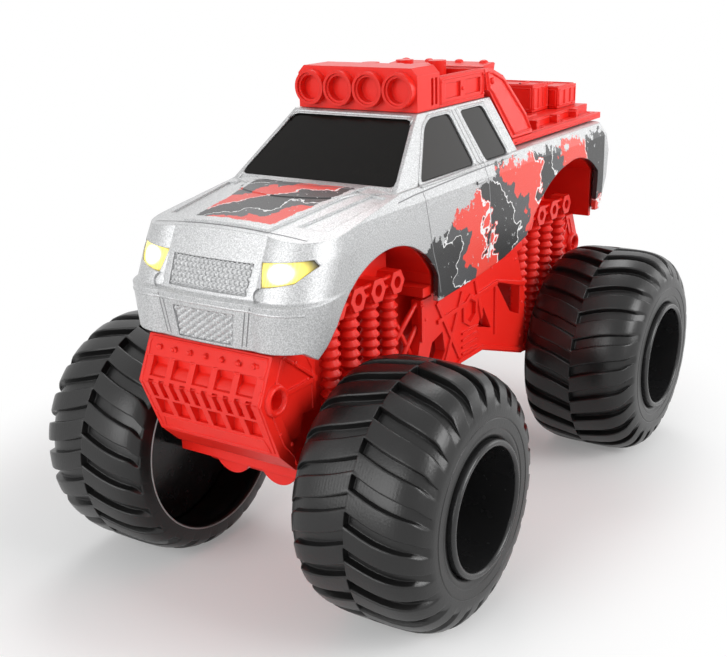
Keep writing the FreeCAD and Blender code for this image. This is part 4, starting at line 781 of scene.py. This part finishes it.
def camera():
    """The photograph's view, a little rolled, its frame shifted off the lens's axis."""
    azimuth, elevation, roll = (math.radians(angle) for angle in (AZIMUTH, ELEVATION, ROLL))
    back = Vector((math.sin(azimuth) * math.cos(elevation),
                   -math.cos(azimuth) * math.cos(elevation), math.sin(elevation)))
    right = Vector((0, 0, 1)).cross(back).normalized()
    up = back.cross(right)
    turned_right = right * math.cos(roll) + up * math.sin(roll)
    turned_up = up * math.cos(roll) - right * math.sin(roll)
    data = bpy.data.cameras.new("camera")
    data.lens = 54.4
    data.sensor_width = 36.0
    data.shift_x = -0.0209
    data.shift_y = 0.0759
    data.clip_start = 0.01
    obj = bpy.data.objects.new("camera", data)
    axes = Matrix((turned_right, turned_up, back)).transposed().to_4x4()
    obj.matrix_world = Matrix.Translation(CAMERA_PLACE) @ axes
    bpy.context.scene.collection.objects.link(obj)
    bpy.context.scene.camera = obj


def area_light(name, place, height, side, power):
    """Square white soft box, aimed at a height over the middle of the truck."""
    light = bpy.data.lights.new(name, "AREA")
    light.energy = power
    light.size = side
    obj = bpy.data.objects.new(name, light)
    obj.location = place
    aim = Vector((0, 0, height)) - Vector(place)
    obj.rotation_euler = aim.to_track_quat("-Z", "Y").to_euler()
    bpy.context.scene.collection.objects.link(obj)


def seen(g):
    """1 where the camera, a reflection or a pane looks, 0 where light is gathered."""
    rays = [g.node("ShaderNodeLightPath", "Is %s Ray" % kind)
            for kind in ("Camera", "Glossy", "Transmission")]
    return g.math("MAXIMUM", rays[0], g.math("MAXIMUM", rays[1], rays[2]))


def stage():
    """Pale floor that keeps the shadow and is white further out, white surround, soft lights."""
    mesh = bpy.data.meshes.new("floor")
    mesh.from_pydata([(-4, -4, 0), (4, -4, 0), (4, 4, 0), (-4, 4, 0)], [], [(0, 1, 2, 3)])
    floor = bpy.data.objects.new("floor", mesh)
    g = Graph("floor_white")
    aside = g.add(g.x, OVAL_SHIFT)
    far = g.math("SQRT", g.add(g.mul(aside, aside), g.mul(g.mul(g.y, g.y), OVAL_SQUASH)))
    share = g.step(far, OVAL_EDGE, OVAL_SOFTNESS)
    white = g.mul(seen(g), g.add(NEAR_WHITE, g.mul(share, 1 - NEAR_WHITE)))
    g.bump(g.noise(0.02), 0.01, 0.1)
    floor.data.materials.append(g.finish(
        Base_Color=g.mix(white, (0.94, 0.94, 0.94), (0, 0, 0)), Roughness=0.9,
        Emission_Color=(1, 1, 1), Emission_Strength=white, Specular_IOR_Level=0.0))
    bpy.context.scene.collection.objects.link(floor)
    world = bpy.data.worlds.new("world")
    world.use_nodes = True
    g = Nodes(world.node_tree)
    back = g.tree.nodes["Background"]
    back.inputs["Color"].default_value = (1, 1, 1, 1)
    g.feed(g.add(WORLD_LIGHT, g.mul(seen(g), 1 - WORLD_LIGHT)), back.inputs["Strength"])
    bpy.context.scene.world = world
    for row in LIGHTS:
        area_light(*row)


camera()
stage()
bpy.context.scene.view_settings.view_transform = "Standard"
